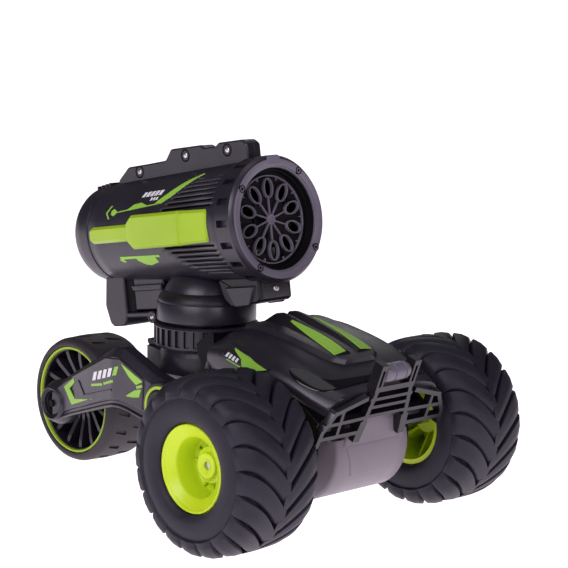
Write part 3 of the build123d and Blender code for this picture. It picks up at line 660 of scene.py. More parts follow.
def rearTyreShells(place):
    # a smooth road profile turned about the axle; slanted dashes are sunk across its tread in two
    # rows, the second half a step on
    half, r = rearHalf, rearRadius
    left = [(31.0, half - 1.2, 0), (31.3, half - 0.4, 0), (32.2, half, 0), (33.6, half - 0.3, 0),
            (34.9, half - 1.3, 0), (35.7, half - 3.2, 0)]
    tread = []
    for tag, (low, high) in enumerate(rearTread["rows"], 1):
        marks = [(high + 0.12, 0), (high, tag), (low, tag), (low - 0.12, 0)]
        tread += [(r - 0.0035 * at * at, at, mark) for at, mark in marks]
    start = [(35.95, half - 4.0, 0)]
    outline = left + start + tread + [(a, -b, c) for a, b, c in reversed(left + start)] + [(30.9, 0, 0)]
    outline = np.array(outline)
    count = rearTread["dashes"]
    pitch, hair = tau / count, 0.003
    wide = rearTread["half"]
    edges = [-wide - hair, -wide, wide, wide + hair]
    local = np.array(edges + [pitch / 2 + e for e in edges])
    turns = (np.arange(count)[:, None] * pitch + local).ravel()
    first = np.tile([0, 1, 1, 0, 0, 0, 0, 0], count)[:, None]
    second = np.tile([0, 0, 0, 0, 0, 1, 1, 0], count)[:, None]
    sunk = first * (outline[:, 2] == 1) + second * (outline[:, 2] == 2)
    angle = turns[:, None] + rearTread["slant"] * outline[:, 1]
    radius = outline[:, 0] - sunk * rearTread["depth"]
    return [skin(place(around(radius, angle, outline[:, 1])), wrapRows=True, wrapColumns=True)]


rearRim = {"fins": 15, "finThick": 2.6}


def rearRimShells(place):
    # barrel, disc and hub turned about the axle, and fins standing on both faces of the disc
    half, barrel = rearHalf, 30.9
    ring = [(28.7, 14.4), (29.0, 14.6), (barrel, 14.6), (barrel, -14.6), (29.0, -14.6), (28.7, -14.4),
            (28.7, -1.2), (8.0, -1.2), (8.0, -half - 1.0), (7.8, -half - 1.2), (2.1, -half - 1.2),
            (2.1, half + 1.2), (7.8, half + 1.2), (8.0, half + 1.0), (8.0, 1.2), (28.7, 1.2)]
    shells = [turned(ring, 120, place)]
    thick = rearRim["finThick"] / 2
    outline = [(7.6, 1.0), (29.0, 1.0), (29.0, 13.2), (24.0, 12.6), (12.0, 9.0), (7.6, 9.0)]
    fin = prism(rounded(outline, 1.2), (-thick, thick), (0, 0), np.array, (0, 2, 1))
    for turn in (np.arange(rearRim["fins"]) + 0.5) * tau / rearRim["fins"]:
        for flip in (1, -1):
            shells.append((place(fin[0] @ spun(turn) * (1, 1, flip)), fin[1]))
    return shells


def rearWheel():
    place = wheelPlace(rearWheelAt, 1)
    piece("rearTyre", rearTyreShells(place), finishes["rearRubber"], "rear_wheel", ["tyre_rear"],
          sharp=40)
    piece("rearRim", rearRimShells(place), finishes["shell"], "rear_wheel", ["rim_rear"],
          bevel=0.25, sharp=35)
    band = [(29.3, 14.75), (30.85, 14.75), (30.85, 15.9), (30.5, 16.3), (29.7, 16.3), (29.3, 15.8)]
    piece("rearBands", [turned(band, 120, place), turned(np.array(band) * (1, -1), 120, place)],
          finishes["lime"], "rear_wheel", ["rim_bands"], sharp=40)
    print("rear wheel made")


# ---- rear arms ----
armTop = [(-198, 46.0), (-187, 53.4), (-134, 77.4), (-131, 78.6), (-127, 79.9), (-121, 80.0), (-118, 79.0),
          (-94, 69.6), (-85, 67.5)]
armLow = [(-198, 25.5), (-186, 29.8), (-178, 32.6), (-136, 45.2), (-129, 47.0), (-122, 47.6), (-115, 47.0),
          (-96, 43.6), (-85, 41.0)]
armOut = [(-210, 30.6), (-187, 30.6), (-157, 37.2), (-127, 43.0), (-100, 44.2), (-70, 44.4)]
armIn = [(-210, 19.2), (-187, 19.2), (-157, 25.4), (-127, 32.0), (-100, 32.5), (-70, 32.9)]
armHub = {"bossR": 12.9, "pivotR": 13.8}


def armFace(x):
    # distance of the arm's outer face from the middle plane
    table = np.array(armOut)
    return np.interp(x, table[:, 0], table[:, 1])


def armShells(side):
    # sections across the arm, carried along it; each is a box with a broad chamfer along the top
    # and a thin lip along the bottom
    place = sidePlace(side)
    x = np.linspace(-83, -198, 70)
    top, low = [np.interp(x, *np.array(table).T) for table in (armTop, armLow)]
    out, inner = armFace(x), np.interp(x, *np.array(armIn).T)
    band = np.clip((top - low) * 0.16, 2.0, 5.0)
    lip = 0.9
    loop = [(out - 0.3, low), (out + 0.35, low + 0.4), (out + 0.35, low + 1.3), (out - lip, low + 2.0),
            (out - lip, low + 3.4), (out, low + 4.2), (out, top - band), (out - 0.3, top - band + 0.5),
            (out - 3.0, top - 0.5), (out - 3.8, top), (inner + 1.0, top), (inner, top - 1.0),
            (inner, low + 1.0), (inner + 1.0, low)]
    grid = np.stack([np.stack([x, y, z], -1) for y, z in loop], 1)
    shells = [skin(place(grid), wrapColumns=True, capped=True)]
    r = armHub["bossR"]
    boss = [(0, 19.3), (r - 0.6, 19.3), (r, 19.9), (r, 25.6), (r - 0.3, 26.4), (9.9, 31.2), (9.4, 31.8),
            (8.9, 32.0), (8.3, 31.8), (7.8, 30.8), (7.2, 30.4), (6.6, 30.3), (6.2, 29.6), (5.6, 27.2),
            (4.9, 27.0), (4.7, 26.6), (4.6, 24.2), (0, 24.1)]
    shells.append(turned(boss, 72, wheelPlace(rearWheelAt, side)))
    r = armHub["pivotR"]
    drum = [(0, 33.0), (r - 0.6, 33.0), (r, 33.6), (r, 44.6), (r - 0.5, 45.3), (r - 1.2, 45.6),
            (12.0, 45.6), (11.9, 44.6), (0, 44.5)]
    shells.append(turned(drum, 72, wheelPlace(pivotAt, side)))
    return shells


def onArm(side):
    # a is the place along the car, b the height, and the third the height above the arm's outer face
    place = sidePlace(side)
    return lambda a, b, high: place(np.stack([a, armFace(a) + high + 0 * a, b], -1))


armArt = {
    "chevron": ([(-172.5, 55.4), (-185.0, 48.2), (-175.4, 39.6), (-149.9, 47.9)],
                [(-171.6, 53.0), (-178.2, 48.4), (-171.4, 43.6), (-150.4, 47.3)]),
    "leaf": ([(-118.3, 72.6), (-108.0, 68.8), (-99.3, 65.6)],
             [(-117.9, 72.0), (-111.5, 66.4), (-105.1, 62.9)]),
    "wedge": ([(-113.8, 55.9), (-106.4, 59.8), (-100.6, 61.2)],
              [(-113.2, 55.4), (-107.0, 55.8), (-102.5, 56.6)]),
    "dashes": [((-105.0, 62.2), (-100.0, 63.8)), ((-151.0, 56.0), (-138.0, 58.6)),
               ((-136.6, 59.2), (-126.0, 62.6))],
    "bars": [(-148.5, 60.6), (-142.8, 62.2), (-137.1, 63.8), (-131.4, 65.5)],
    "lastBar": (-125.6, 67.2),
}


def slanted(x, z):
    # the two sides of one slanted bar
    left = [(x + 1.3, z + 2.7), (x - 0.8, z - 2.5)]
    return left, [(px + 3.7, pz + 0.9) for px, pz in left]


def armTrim(side):
    # the raised panel, and the printed marks that lie on it
    on = onArm(side)
    upper = [(-176, 55.6), (-134, 73.6), (-120, 75.0), (-99, 67.0)]
    lower = [(-170, 38.6), (-134, 50.6), (-120, 52.6), (-100, 50.0)]
    panel = [ruled(upper, lower, 6, 8, -0.6, 0.75, 0.5, on)]
    inlet = [(-167.6, 55.0), (-160.2, 47.4)], [(-166.0, 55.6), (-158.8, 48.4)]
    ledge = [(-159.6, 47.4), (-127.5, 56.2)], [(-158.8, 48.6), (-127.5, 57.4)]
    for left, right in (inlet, ledge):
        panel.append(ruled(left, right, 4, 3, 0.4, 1.35, 0.3, on))
    marks = []
    for name in ("chevron", "leaf", "wedge"):
        left, right = armArt[name]
        marks.append(ruled(left, right, 5, 4, 0.3, 0.98, 0.06, on))
    for start, end in armArt["dashes"]:
        left = [start, end]
        right = [(x + 0.5, z - 1.3) for x, z in left]
        marks.append(ruled(left, right, 3, 3, 0.3, 0.98, 0.06, on))
    bars = []
    for x, z in armArt["bars"]:
        left, right = slanted(x, z)
        bars.append(ruled(left, right, 3, 3, 0.3, 1.0, 0.06, on))
    left, right = slanted(*armArt["lastBar"])
    marks.append(ruled(left, right, 3, 3, 0.3, 1.0, 0.06, on))
    return panel, marks, bars


def rearArms():
    for side, name in ((1, "left"), (-1, "right")):
        shells = armShells(side)
        panel, marks, bars = armTrim(side)
        piece(f"arm_{name}", shells + panel, finishes["shell"], "rear_arms", [f"arm_{name}"],
              bevel=0.25, sharp=26)
        piece(f"armMarks_{name}", marks, finishes["ink"], "rear_arms")
        piece(f"armBars_{name}", bars, finishes["print"], "rear_arms")
        pivot = wheelPlace(pivotAt, side)
        ring = [(10.0, 44.6), (10.0, 46.0), (10.3, 46.2), (11.4, 46.2), (11.7, 45.9), (11.7, 44.6)]
        piece(f"pivotRing_{name}", [turned(ring, 90, pivot)], finishes["lime"], "rear_arms",
              [f"pivot_ring_{name}"], sharp=40)
        cup = [(0, 44.55), (9.9, 44.55), (9.9, 45.6), (9.4, 46.0), (8.2, 46.1), (7.4, 45.5), (6.9, 45.1),
               (6.2, 45.0), (6.0, 45.7), (4.6, 45.8), (4.3, 45.5), (4.2, 44.7), (0, 44.7)]
        piece(f"pivotCup_{name}", [turned(cup, 72, pivot)], finishes["black"], "rear_arms",
              sharp=40)
        # painted shade: the hole in each hub is lined with the near-black shade finish
        hole = [(0, 26.5), (5.9, 26.5), (7.0, 30.4), (7.3, 30.75), (6.9, 30.8), (6.5, 30.4), (5.4, 27.0),
                (0, 26.9)]
        piece(f"hubCup_{name}", [turned(hole, 60, wheelPlace(rearWheelAt, side))], finishes["paintedShade"],
              "rear_arms", sharp=40)
        refined(f"arm_cover_{name}", f"armCover_{name}", finishes["black"], "rear_arms")
    print("rear arms made")


# ---- hood ----
hoodTable = [(-49, 80.2, 43.6, 89.6, 31, 98.2), (-38, 80.2, 45.0, 90.2, 33, 100.4),
             (-13, 80.4, 45.2, 87.6, 35, 97.4), (8, 76.2, 44.2, 83.2, 36, 91.2),
             (24, 69.8, 41.6, 77.0, 35, 84.2), (34, 66.4, 38.6, 73.0, 33, 79.2),
             (43.5, 64.4, 34.0, 69.6, 29.5, 75.0)]  # x, bottom, half width, side top, shoulder, top
hoodRear, hoodNose = hoodTable[0][0], hoodTable[-1][0]
hoodPlate = {"raise": 2.2, "chamfer": 3.0}


def hoodSection(x, across):
    # the hood's half section at each x: up the side, round the shoulder and over to the middle,
    # as a cubic through eight points; across runs from -1 at one lower edge to 1 at the other
    bottom, half, sideTop, shoulder, top = tableAt(hoodTable, x).T
    keys = np.array([[half - 1.0, bottom], [half, bottom + 2.4], [half + 0.1, sideTop - 1.6],
                     [half - 2.2, sideTop + 1.8], [shoulder + 1.6, top - 3.6], [shoulder - 4.4, top - 1.3],
                     [shoulder * 0.5, top - 0.3], [0 * x, top]])
    share = (1 - np.abs(across)) * (len(keys) - 1)
    i = np.minimum(share.astype(int), len(keys) - 2)
    t = (share - i)[..., None, None]
    slopes = np.gradient(keys, axis=0)
    slopes[-1, 1] = 0
    found = cubic(t, keys[i], keys[i + 1], slopes[i], slopes[i + 1])
    y = found[:, 0] * np.sign(np.where(across == 0, 1, across))[:, None]
    return y.T, found[:, 1].T


guard = {"x": 31.0, "z": 52.0, "lean": math.radians(21.8)}  # a point of its face, and its lean


def guardFront(z, behind):
    # x of the plane a little behind the leaning brush guard
    return guard["x"] + (z - guard["z"]) * math.tan(guard["lean"]) - behind


def hoodTopAt(x, y):
    # height of the hood's top at (x, y), read from finely sampled sections
    across = np.linspace(-0.714, 0.714, 161)  # from one shoulder to the other
    count = 120
    xs = np.linspace(hoodRear, hoodNose, count)
    ys, zs = hoodSection(xs, across)
    flatX, flatY = np.ravel(x), np.ravel(y)
    column = np.clip((flatX - hoodRear) / (hoodNose - hoodRear) * (count - 1), 0, count - 1.001)
    i = column.astype(int)
    t = column - i
    found = np.empty_like(flatX, float)
    for row in np.unique(i):
        here = i == row
        lower = np.interp(flatY[here], ys[row], zs[row])
        upper = np.interp(flatY[here], ys[row + 1], zs[row + 1])
        found[here] = lower * (1 - t[here]) + upper * t[here]
    return found.reshape(np.shape(x))


def onHood(a, b, high):
    # the point that stands so high above the hood's top at (a, b)
    return carPlace(np.stack([a, b, hoodTopAt(a, b) + high], -1))


def onHoodSide(side):
    # a along the car, b the height; the third is the distance out from the hood's flank
    def at(a, b, high):
        across = np.linspace(0.0, 1, 81)
        ys, zs = hoodSection(np.ravel(a).astype(float), across)
        out = np.array([np.interp(h, zs[k][::-1], ys[k][::-1]) for k, h in enumerate(np.ravel(b))])
        return carPlace(np.stack([a, side * (out.reshape(np.shape(a)) + high), b], -1))
    return at


hoodArt = {
    "scoop": [(-44, 24.5), (-38, 25.2), (-20, 24.4), (-4, 22.6), (8, 20.0), (13.5, 17.0), (17.5, 12.0)],
    "stripe": [(-24, 7.4, 8.9), (-14, 6.7, 11.0), (-4, 6.0, 12.6), (4, 5.5, 13.2), (12.2, 5.2, 13.4)],
    "ridge": [(-41, 0.2), (-38.6, 3.3), (-34, 3.8), (-22, 2.7), (-10, 2.0), (2, 1.5), (12.4, 1.0),
              (13.6, 0.0)],
    "ridgeAcross": [(2.0, 0.0), (3.0, 0.66), (3.9, 1.0), (5.2, 1.0), (6.0, 0.95), (13.4, 0.1),
                    (14.0, 0.0)],
    "panel": ([(-33.5, 95.0), (-24, 92.6), (-12, 89.4), (-1, 86.4)],
              [(-35.5, 89.8), (-30, 86.4), (-19, 83.2), (-9, 84.0)]),
    "wedge": ([(-29, 93.2), (-16.5, 90.2), (-12.5, 88.8), (-2.5, 86.0)],
              [(-28, 92.4), (-20.5, 89.0), (-18.5, 84.2), (-10, 84.6)]),
    "dash": ([(-30.5, 88.2), (-20.0, 85.4)], [(-30.4, 87.6), (-20.2, 84.7)]),
    "bars": 4,
}


def ridgeTop(x, y):
    # height of the two ridges: each stands above the raised plate by its crest table, scaled down the
    # two slopes beside it
    crestLine = np.array(hoodArt["ridge"])
    slope = np.array(hoodArt["ridgeAcross"])
    crestHigh = np.interp(x, crestLine[:, 0], crestLine[:, 1])
    above = crestHigh * np.interp(np.abs(y), slope[:, 0], slope[:, 1])
    return hoodTopAt(x, y) + hoodPlate["raise"] + above - 0.12


def onRidge(a, b, high):
    # the same above the two ridges
    return carPlace(np.stack([a, b, ridgeTop(a, b) + high], -1))


def hoodPieces():
    # the shell follows its sections and is cut off along the leaning guard in front
    x = np.concatenate([np.linspace(hoodRear, 30, 70), np.linspace(31, hoodNose, 14)])
    across = np.linspace(-1, 1, 97)
    y, z = hoodSection(x, across)
    cut = np.minimum(x[:, None] + 0 * y, guardFront(z, 4.4))
    body = [skin(carPlace(np.stack([cut, -y, z], -1)))]
    rear = np.stack([cut[0], -y[0], z[0]], -1)
    low = rear * (1, 1, 0) + (0, 0, 80.0)
    body.append(skin(carPlace(np.stack([low, rear], 0))))
    piece("hoodShell", body, finishes["shell"], "chassis", ["hood"], wall=1.6, sharp=40)

    scoop = divided(hoodArt["scoop"], 6)
    raised = hoodPlate["raise"]
    plateau = slab(scoop * (1, -1), scoop, 25, -1.0, raised, hoodPlate["chamfer"], onHood)
    ribs = []
    along = divided(hoodArt["ridge"], 6)[:, 0]
    for side in (-1, 1):
        wide = np.array(hoodArt["ridgeAcross"])[:, 0] * side
        x, y = np.broadcast_arrays(along[:, None], wide[None, :])
        upper = np.stack([x, y, ridgeTop(x, y)], -1)
        floorLine = hoodTopAt(along, 8 + 0 * along) - 2
        under = upper[:, [-1, 0]] * (1, 1, 0) + (floorLine[:, None] * (0, 0, 1))[:, None]
        ribs.append(skin(carPlace(np.concatenate([upper, under], 1)), wrapColumns=True, capped=True))
    piece("hoodScoop", [plateau], finishes["shell"], "chassis", sharp=30)
    piece("hoodRibs", ribs, finishes["black"], "chassis", bevel=0.4, sharp=30)

    stripes = []
    dense = np.linspace(hoodArt["stripe"][0][0], hoodArt["stripe"][-1][0], 28)
    edges = tableAt(hoodArt["stripe"], dense)
    for side in (-1, 1):
        left = np.stack([dense, side * edges[:, 0]], 1)
        right = np.stack([dense, side * edges[:, 1]], 1)
        stripes.append(slab(left, right, 5, -0.6, 0.45, 0.25, onRidge))
    piece("hoodStripes", stripes, finishes["ink"], "chassis", ["hood_stripes"], sharp=30)

    panels, wedges, bars = [], [], []
    for side in (-1, 1):
        flank = onHoodSide(side)
        panels.append(ruled(*hoodArt["panel"], 6, 6, -0.8, 1.5, 1.1, flank))
        wedges.append(ruled(*hoodArt["wedge"], 5, 5, 0.9, 1.72, 0.06, flank))
        wedges.append(ruled(*hoodArt["dash"], 3, 3, 0.9, 1.72, 0.06, flank))
        for k in range(hoodArt["bars"]):
            start = -31 + 2.5 * k
            left = [(start, 91.2 - 0.62 * k), (start - 0.9, 89.2 - 0.62 * k)]
            right = [(px + 1.6, pz - 0.4) for px, pz in left]
            bars.append(ruled(left, right, 2, 3, 0.9, 1.72, 0.05, flank))
    piece("hoodPanels", panels, finishes["shell"], "chassis", sharp=30)
    piece("hoodWedges", wedges, finishes["ink"], "chassis")
    piece("hoodBars", bars, finishes["print"], "chassis")
    print("hood made")


def noseBand():
    # the glossy band let into the nose: it starts in a round end on each flank, drops forwards and
    # crosses the nose under the top; drawn as a ribbon between two edge lines on the hood's surface
    path = [(7.5, 39.4, 0.9), (12, 38.8, 3.1), (18, 37.4, 3.7), (23.5, 35.2, 3.9), (27.2, 31.5, 3.6),
            (28.8, 26, 3.0), (29.3, 16, 2.4), (29.4, 8, 2.1), (29.4, 0, 2.0)]  # x, y, half width
    line = curveThrough(path, 60)
    step = np.gradient(line[:, :2], axis=0)
    step /= np.linalg.norm(step, axis=1, keepdims=True)
    return line, step


def nosePieces():
    # the band laid on the hood, once on each side
    bands = []
    line, step = noseBand()
    index = np.arange(len(line))
    for side in (-1, 1):
        def draped(a, b, high, side=side):
            # a is the place along the band's line, b the place across it
            x, y, dx, dy = [np.interp(a, index, row) for row in (line[:, 0], line[:, 1], *step.T)]
            flankX, flankY = x - dy * b, np.minimum(y + dx * b, 44.0)
            z = hoodTopAt(flankX, flankY) + high
            return carPlace(np.stack([flankX, side * flankY, z], -1))
        left = np.column_stack([index, -line[:, 2]])
        right = np.column_stack([index, line[:, 2]])
        bands.append(slab(left, right, 7, -1.5, 0.45, 0.35, draped))
    piece("noseBand", bands, finishes["gloss"], "chassis", ["nose_visor"], sharp=40)


def leaned(points):
    # the brush guard's own frame: x out of its face, y across, z up along its lean
    c, s = math.cos(guard["lean"]), math.sin(guard["lean"])
    p = np.asarray(points, float)
    x = guard["x"] + p[..., 0] * c + p[..., 2] * s
    z = guard["z"] - p[..., 0] * s + p[..., 2] * c
    return carPlace(np.stack([x, p[..., 1], z], -1))


def guardPieces():
    refined("brush_guard", "brushGuard", finishes["guard"], "chassis", bevel=0.45)
    drum = [(0, -9.2), (3.0, -9.2), (3.8, -8.9), (4.5, -8.0), (4.6, -7.0), (4.6, -4.2), (4.2, -4.0),
            (4.2, -3.4), (4.6, -3.2), (4.6, 3.2), (4.2, 3.4), (4.2, 4.0), (4.6, 4.2), (4.4, 6.0),
            (3.6, 7.9), (2.4, 8.9), (0, 9.2)]
    place = shifted(leaned, (-3, 0, 35.5), (0, 2, 1))  # the drum's axis lies across the car
    piece("guardLamp", [turned(drum, 48, place)], finishes["face"], "chassis", ["guard_lamp"],
          sharp=35)
    print("guard made")


belly = {"radius": 27.5, "half": 26.0, "flat": 18.3, "top": 52.0, "stubHalf": 44.0, "stubR": 9.0,
         "flatFrom": 1.315, "caseFrom": 25.0, "caseTo": 41.0, "caseR": 14.5}


def drumProfile(radius, low, high, edge):
    # a closed cylinder's profile with its two rims broken by edge
    return [(0, low), (radius - edge, low), (radius, low + edge), (radius, high - edge),
            (radius - edge, high), (0, high)]


def bellyPieces():
    # the axle housing: a round trough carried across the car, flat along its bottom, with a low
    # trapezoid panel let into its front
    r, zc = belly["radius"], frontWheelAt[2]
    start = math.asin((belly["top"] - zc) / r)
    low = belly["flatFrom"]
    angles = np.concatenate([np.linspace(start, -low, 30), np.linspace(-low, low - math.pi, 5)[1:],
                             np.linspace(low - math.pi, -math.pi - start, 30)[1:]])
    x = r * np.cos(angles)
    z = np.maximum(zc + r * np.sin(angles), belly["flat"])
    y = belly["half"] * np.array([-1, -0.97, -0.93, -0.5, 0, 0.5, 0.93, 0.97, 1])
    pull = np.array([2.0, 0.6, 0, 0, 0, 0, 0, 0.6, 2.0])[:, None]
    scale = 1 - pull / r
    grid = np.stack([x * scale, y[:, None] + 0 * x, zc + (z - zc) * scale], -1)
    shells = [skin(carPlace(grid), wrapColumns=True, capped=True)]

    def front(a, b, high):
        # a is the angle below the axle's height at the front, b the place across
        return carPlace(np.stack([(r + high) * np.cos(a), b, zc - (r + high) * np.sin(a)], -1))

    left = divided([(-0.14, -20.0), (0.50, -14.0)], 10)
    right = left * (1, -1)
    shells.append(slab(left, right, 9, -0.8, 0.7, 0.5, front))
    axle = wheelPlace((axleX, 0, zc), 1)
    shells.append(turned(drumProfile(belly["stubR"], -belly["stubHalf"], belly["stubHalf"], 1), 48, axle))
    piece("bellyHousing", shells, finishes["belly"], "chassis", ["axle_housing"], sharp=35)
    cases = []
    for side in (-1, 1):
        near, far = sorted((side * belly["caseFrom"], side * belly["caseTo"]))
        cases.append(turned(drumProfile(belly["caseR"], near, far, 1.5), 48, axle))
    piece("gearCases", cases, finishes["black"], "chassis", ["gearbox_left", "gearbox_right"],
          sharp=35)


def chassisPieces():
    bellyPieces()
    apron = rounded([(-22, 47.5), (22, 47.5), (17, 61.5), (-17, 61.5)], 1.5, 4)
    piece("frontApron", [prism(apron, (24.5, 27.2, 27.9), (0, 0, 0.7), carPlace, (2, 0, 1))],
          finishes["belly"], "chassis", sharp=35)
    for node, name, finish, slot in (("chassis_tub", "chassisTub", "black", "shell_black"),
                                     # painted shade: the rear bulkhead takes the near-black shade finish instead
                                     # of its charcoal slot, so it reads as shade under the hood's rear
                                     ("rear_bulkhead", "rearBulkhead", "paintedShade", "shell_charcoal"),
                                     ("battery_box", "batteryBox", "shell", "shell_charcoal"),
                                     ("battery_door", "batteryDoor", "shell", "shell_charcoal"),
                                     ("pivot_bracket", "pivotBracket", "black", "shell_black")):
        refined(node, name, finishes[finish], "chassis")
    print("chassis made")


# ---- turret base, collar and head ----
collar = {"ribs": 34, "low": 80.6, "high": 93.2, "radius": 28.8, "deep": 1.5, "grooveHalf": 0.052}


def collarShells(place):
    # a sleeve turned about the neck with upright grip ribs: the wall's radius steps in between them
    low, high, r = collar["low"], collar["high"], collar["radius"]
    profile = [(22.2, low, 0), (r - 1.8, low, 0), (r - 0.4, low + 0.5, 0), (r, low + 1.2, 0),
               (r, low + 2.2, 0), (r, low + 2.3, 1), (r, high - 1.5, 1), (r, high - 1.4, 0),
               (r, high - 0.9, 0), (r - 0.9, high, 0), (22.2, high, 0)]
    return [pocketed(profile, (collar["deep"], 0), collar["ribs"], collar["grooveHalf"], place, between=3)]


def turretPieces():
    neck = framed((neckX, 0, 0), (1, 0, 0), (0, 1, 0), (0, 0, 1))
    piece("lockingCollar", collarShells(neck), finishes["shell"], "collar", ["locking_collar"],
          sharp=35)
    refined("neck_base", "neckBase", finishes["shell"], "turret_base", bevel=0.5)
    refined("switch_housing", "switchHousing", finishes["black"], "turret_base")
    refined("power_slider", "powerSlider", finishes["red"], "switch")
    head = [(17.2, 70), (19.8, 70), (20, 70.3), (20, 94.9), (26.7, 94.9), (27.1, 95.3), (27.1, 104.6),
            (26.7, 105.2), (25, 105.3)]
    dome = [(22.8, 110.4), (22.2, 112.2), (20.8, 114.8), (18.6, 117.4), (15.6, 119.4), (12, 120.4)]
    piece("turretHead", [turned(head + dome, 96, neck)], finishes["shell"], "cannon", ["turret_head"],
          sharp=35)
    band = [(24, 105.0), (26.5, 105.1), (26.6, 105.8), (26.0, 107.6), (24.4, 109.8), (23.0, 110.9),
            (22.0, 110.8)]
    piece("headBand", [turned(band, 96, neck)], finishes["black"], "cannon", sharp=40)
    print("turret made")


# ---- cannon ----
barrel = {"front": 14.2, "rear": 127.0, "frontR": 32.0, "rearR": 28.0, "rows": 7, "slotHalf": 0.62,
          "slotFrom": 19.0, "arcR": 30.0}


def barrelRadius(back):
    # the radius changes evenly from the front to the rear
    share = (back - barrel["front"]) / (barrel["rear"] - barrel["front"])
    return barrel["frontR"] + (barrel["rearR"] - barrel["frontR"]) * share


def barrelAt(a, b, high):
    # a back from the muzzle face, b the arc length round from the widest point on that side
    r = barrelRadius(a) + high
    turn = math.pi / 2 - b / barrel["arcR"]
    return np.stack([a, r * np.sin(turn), r * np.cos(turn)], -1)


def onBarrel(side):
    return lambda a, b, high: barrelSide(side)(barrelAt(a, b, high))


def barrelShells(side):
    # half a cone: stations back from the muzzle, angles from the crest to the keel; the quads that lie
    # in a vent row are left out, and the wall modifier gives the rest its thickness
    lengths = 42 - 3.6 * np.arange(barrel["rows"])
    slots = 19.5 + 5.6 * np.arange(barrel["rows"])
    wide = math.degrees(barrel["slotHalf"] * 2 / 31.5)
    stops = np.concatenate([[0.15, 1.2, 8, 16, 24, 90], 90 - slots - wide / 2, 90 - slots + wide / 2,
                            90 + slots - wide / 2, 90 + slots + wide / 2, [156, 164, 172, 178.8, 179.85],
                            np.linspace(74, 106, 9)])
    turn = np.radians(np.unique(np.round(stops, 4)))
    first = barrel["slotFrom"]
    backs = np.concatenate([[barrel["front"], 15.0, first], first + lengths,
                            [64, 72, 80, 90, 100, 110, 118, 126.3, barrel["rear"]]])
    backs = np.unique(np.round(backs, 4))
    r = barrelRadius(backs)[:, None] - np.where((backs < 15) | (backs > 126.5), 0.5, 0.0)[:, None]
    grid = np.stack([backs[:, None] + 0 * turn, r * np.sin(turn), r * np.cos(turn)], -1)
    middleBack = (backs[1:] + backs[:-1])[:, None] / 2
    middleTurn = np.degrees(turn[1:] + turn[:-1])[None, :] / 2
    dropped = np.zeros((len(backs) - 1, len(turn) - 1), bool)
    for length, angle in zip(lengths, slots):
        inLength = (middleBack > first) & (middleBack < first + length)
        dropped |= inLength & (np.abs(np.abs(middleTurn - 90) - angle) < wide / 2)
    flipped = grid * (1, -side, 1)
    if side > 0:
        flipped, dropped = flipped[:, ::-1], dropped[:, ::-1]
    return [skin(barrelPlace(flipped), dropped=dropped)]


crest = {"outline": [(14.3, 26), (14.3, 40.4), (18, 43), (37, 43), (39, 41.4), (49, 41.4), (51, 43),
                     (76, 43), (81.4, 37.2), (97, 36.6), (114, 36.2), (123.6, 29.4), (123.6, 24)],
         "half": 5.0, "screws": [(30, 38.5), (64, 38.5), (104, 32.8)]}


def crestShells(side):
    # half of the stepped rail along the top, its outer face's edge broken
    outline = rounded(crest["outline"], 1.0, 3)
    levels = (0.06, crest["half"] - 0.7, crest["half"])
    return [prism(outline, levels, (0, 0, 0.7), barrelSide(side), (0, 2, 1))]


def crestWells(side, screws=False):
    # a dark round well with a low rim at each screw place, or the screw head inside it
    well = [(0, 4.0), (3.5, 4.0), (3.5, 5.1), (3.2, 5.35), (2.8, 5.2), (2.5, 4.85), (0, 4.8)]
    head = [(0, 4.7), (1.5, 4.7), (1.5, 5.0), (1.2, 5.25), (0.5, 5.3), (0.4, 5.05), (0, 5.05)]
    return [turned(head if screws else well, 28, shifted(barrelSide(side), (back, 0, high), (0, 2, 1)))
            for back, high in crest["screws"]]


sideBar = {  # back, half height, distance out
    "wide": [(21.6, 7.4, 31.6), (22.6, 8.6, 32.5), (39.8, 9.0, 35.2), (40.8, 9.2, 36.2), (78.6, 9.2, 36.2),
             (83.4, 6.0, 35.4)],
    "thin": [(82.0, 4.6, 33.6), (116.2, 4.6, 33.6), (118.6, 3.6, 33.0), (119.6, 2.6, 31.8)],
}

barrelArt = [  # pairs of edge lines of (back, arc length up)
    ([(68, 14.6), (58, 20.5), (48, 27.0), (38, 32.2)],
     [(62, 14.2), (53.8, 18.0), (44.8, 25.0), (37.4, 31.7)]),
    ([(101, 12.6), (84, 13.6), (68, 14.5)], [(101, 12.0), (84, 12.9), (64, 14.1)]),
    ([(91, 13.2), (86, 15.8), (80, 16.4), (74, 14.2)], [(91, 13.0), (86, 13.2), (80, 13.6), (74, 14.0)]),
    ([(105.6, 13.6), (103.4, 14.6), (101, 13.2)], [(105.6, 11.4), (103.4, 10.2), (101, 11.6)]),
    ([(110.6, 12.6), (107.0, 17.0)], [(109.2, 12.4), (106.0, 16.8)]),
    ([(110.6, 12.6), (107.6, 8.6)], [(109.2, 12.4), (106.6, 8.9)]),
    ([(102.7, -13.8), (84, -13.7), (67.6, -13.6)], [(102.7, -15.6), (84, -15.2), (67.6, -14.9)]),
    ([(89, -15.0), (84, -15.0), (79, -15.0), (72, -15.0)],
     [(88, -16.8), (83, -19.6), (79, -20.2), (71, -18.2)]),
    ([(104, -15.9), (101, -15.2)], [(101, -17.6), (98.6, -17.4)]),
]


barrelBars = [  # count, pitch, the first bar's front edge from top to bottom, width
    (5, 3.6, (80.5, 23.0), (81.7, 19.8), 2.4),
    (3, 2.4, (72.4, 18.6), (73.0, 16.9), 1.5),
]


def barPieces(side):
    # each bar is a box with two broken edges, its section read from the table at each station
    shells = []
    for rows in sideBar.values():
        back, high, out = np.array(rows, float).T
        base, edge = out * 0 + 27.6, 1.5
        loop = [(base, -high), (out - edge, -high), (out, edge - high), (out, high - edge),
                (out - edge, high), (base, high)]
        grid = np.stack([np.stack([back, y, z], -1) for y, z in loop], 1)
        shells.append(skin(barrelSide(side)(grid), wrapColumns=True, capped=True))
    return shells


muzzle = {"radius": 33.3, "notches": 18, "notchHalf": 0.052, "notchDeep": 2.6, "notchTurn": 0.17,
          "loops": 10, "loopAt": 16.4, "screwR": 29.4, "screwTurn": 35}


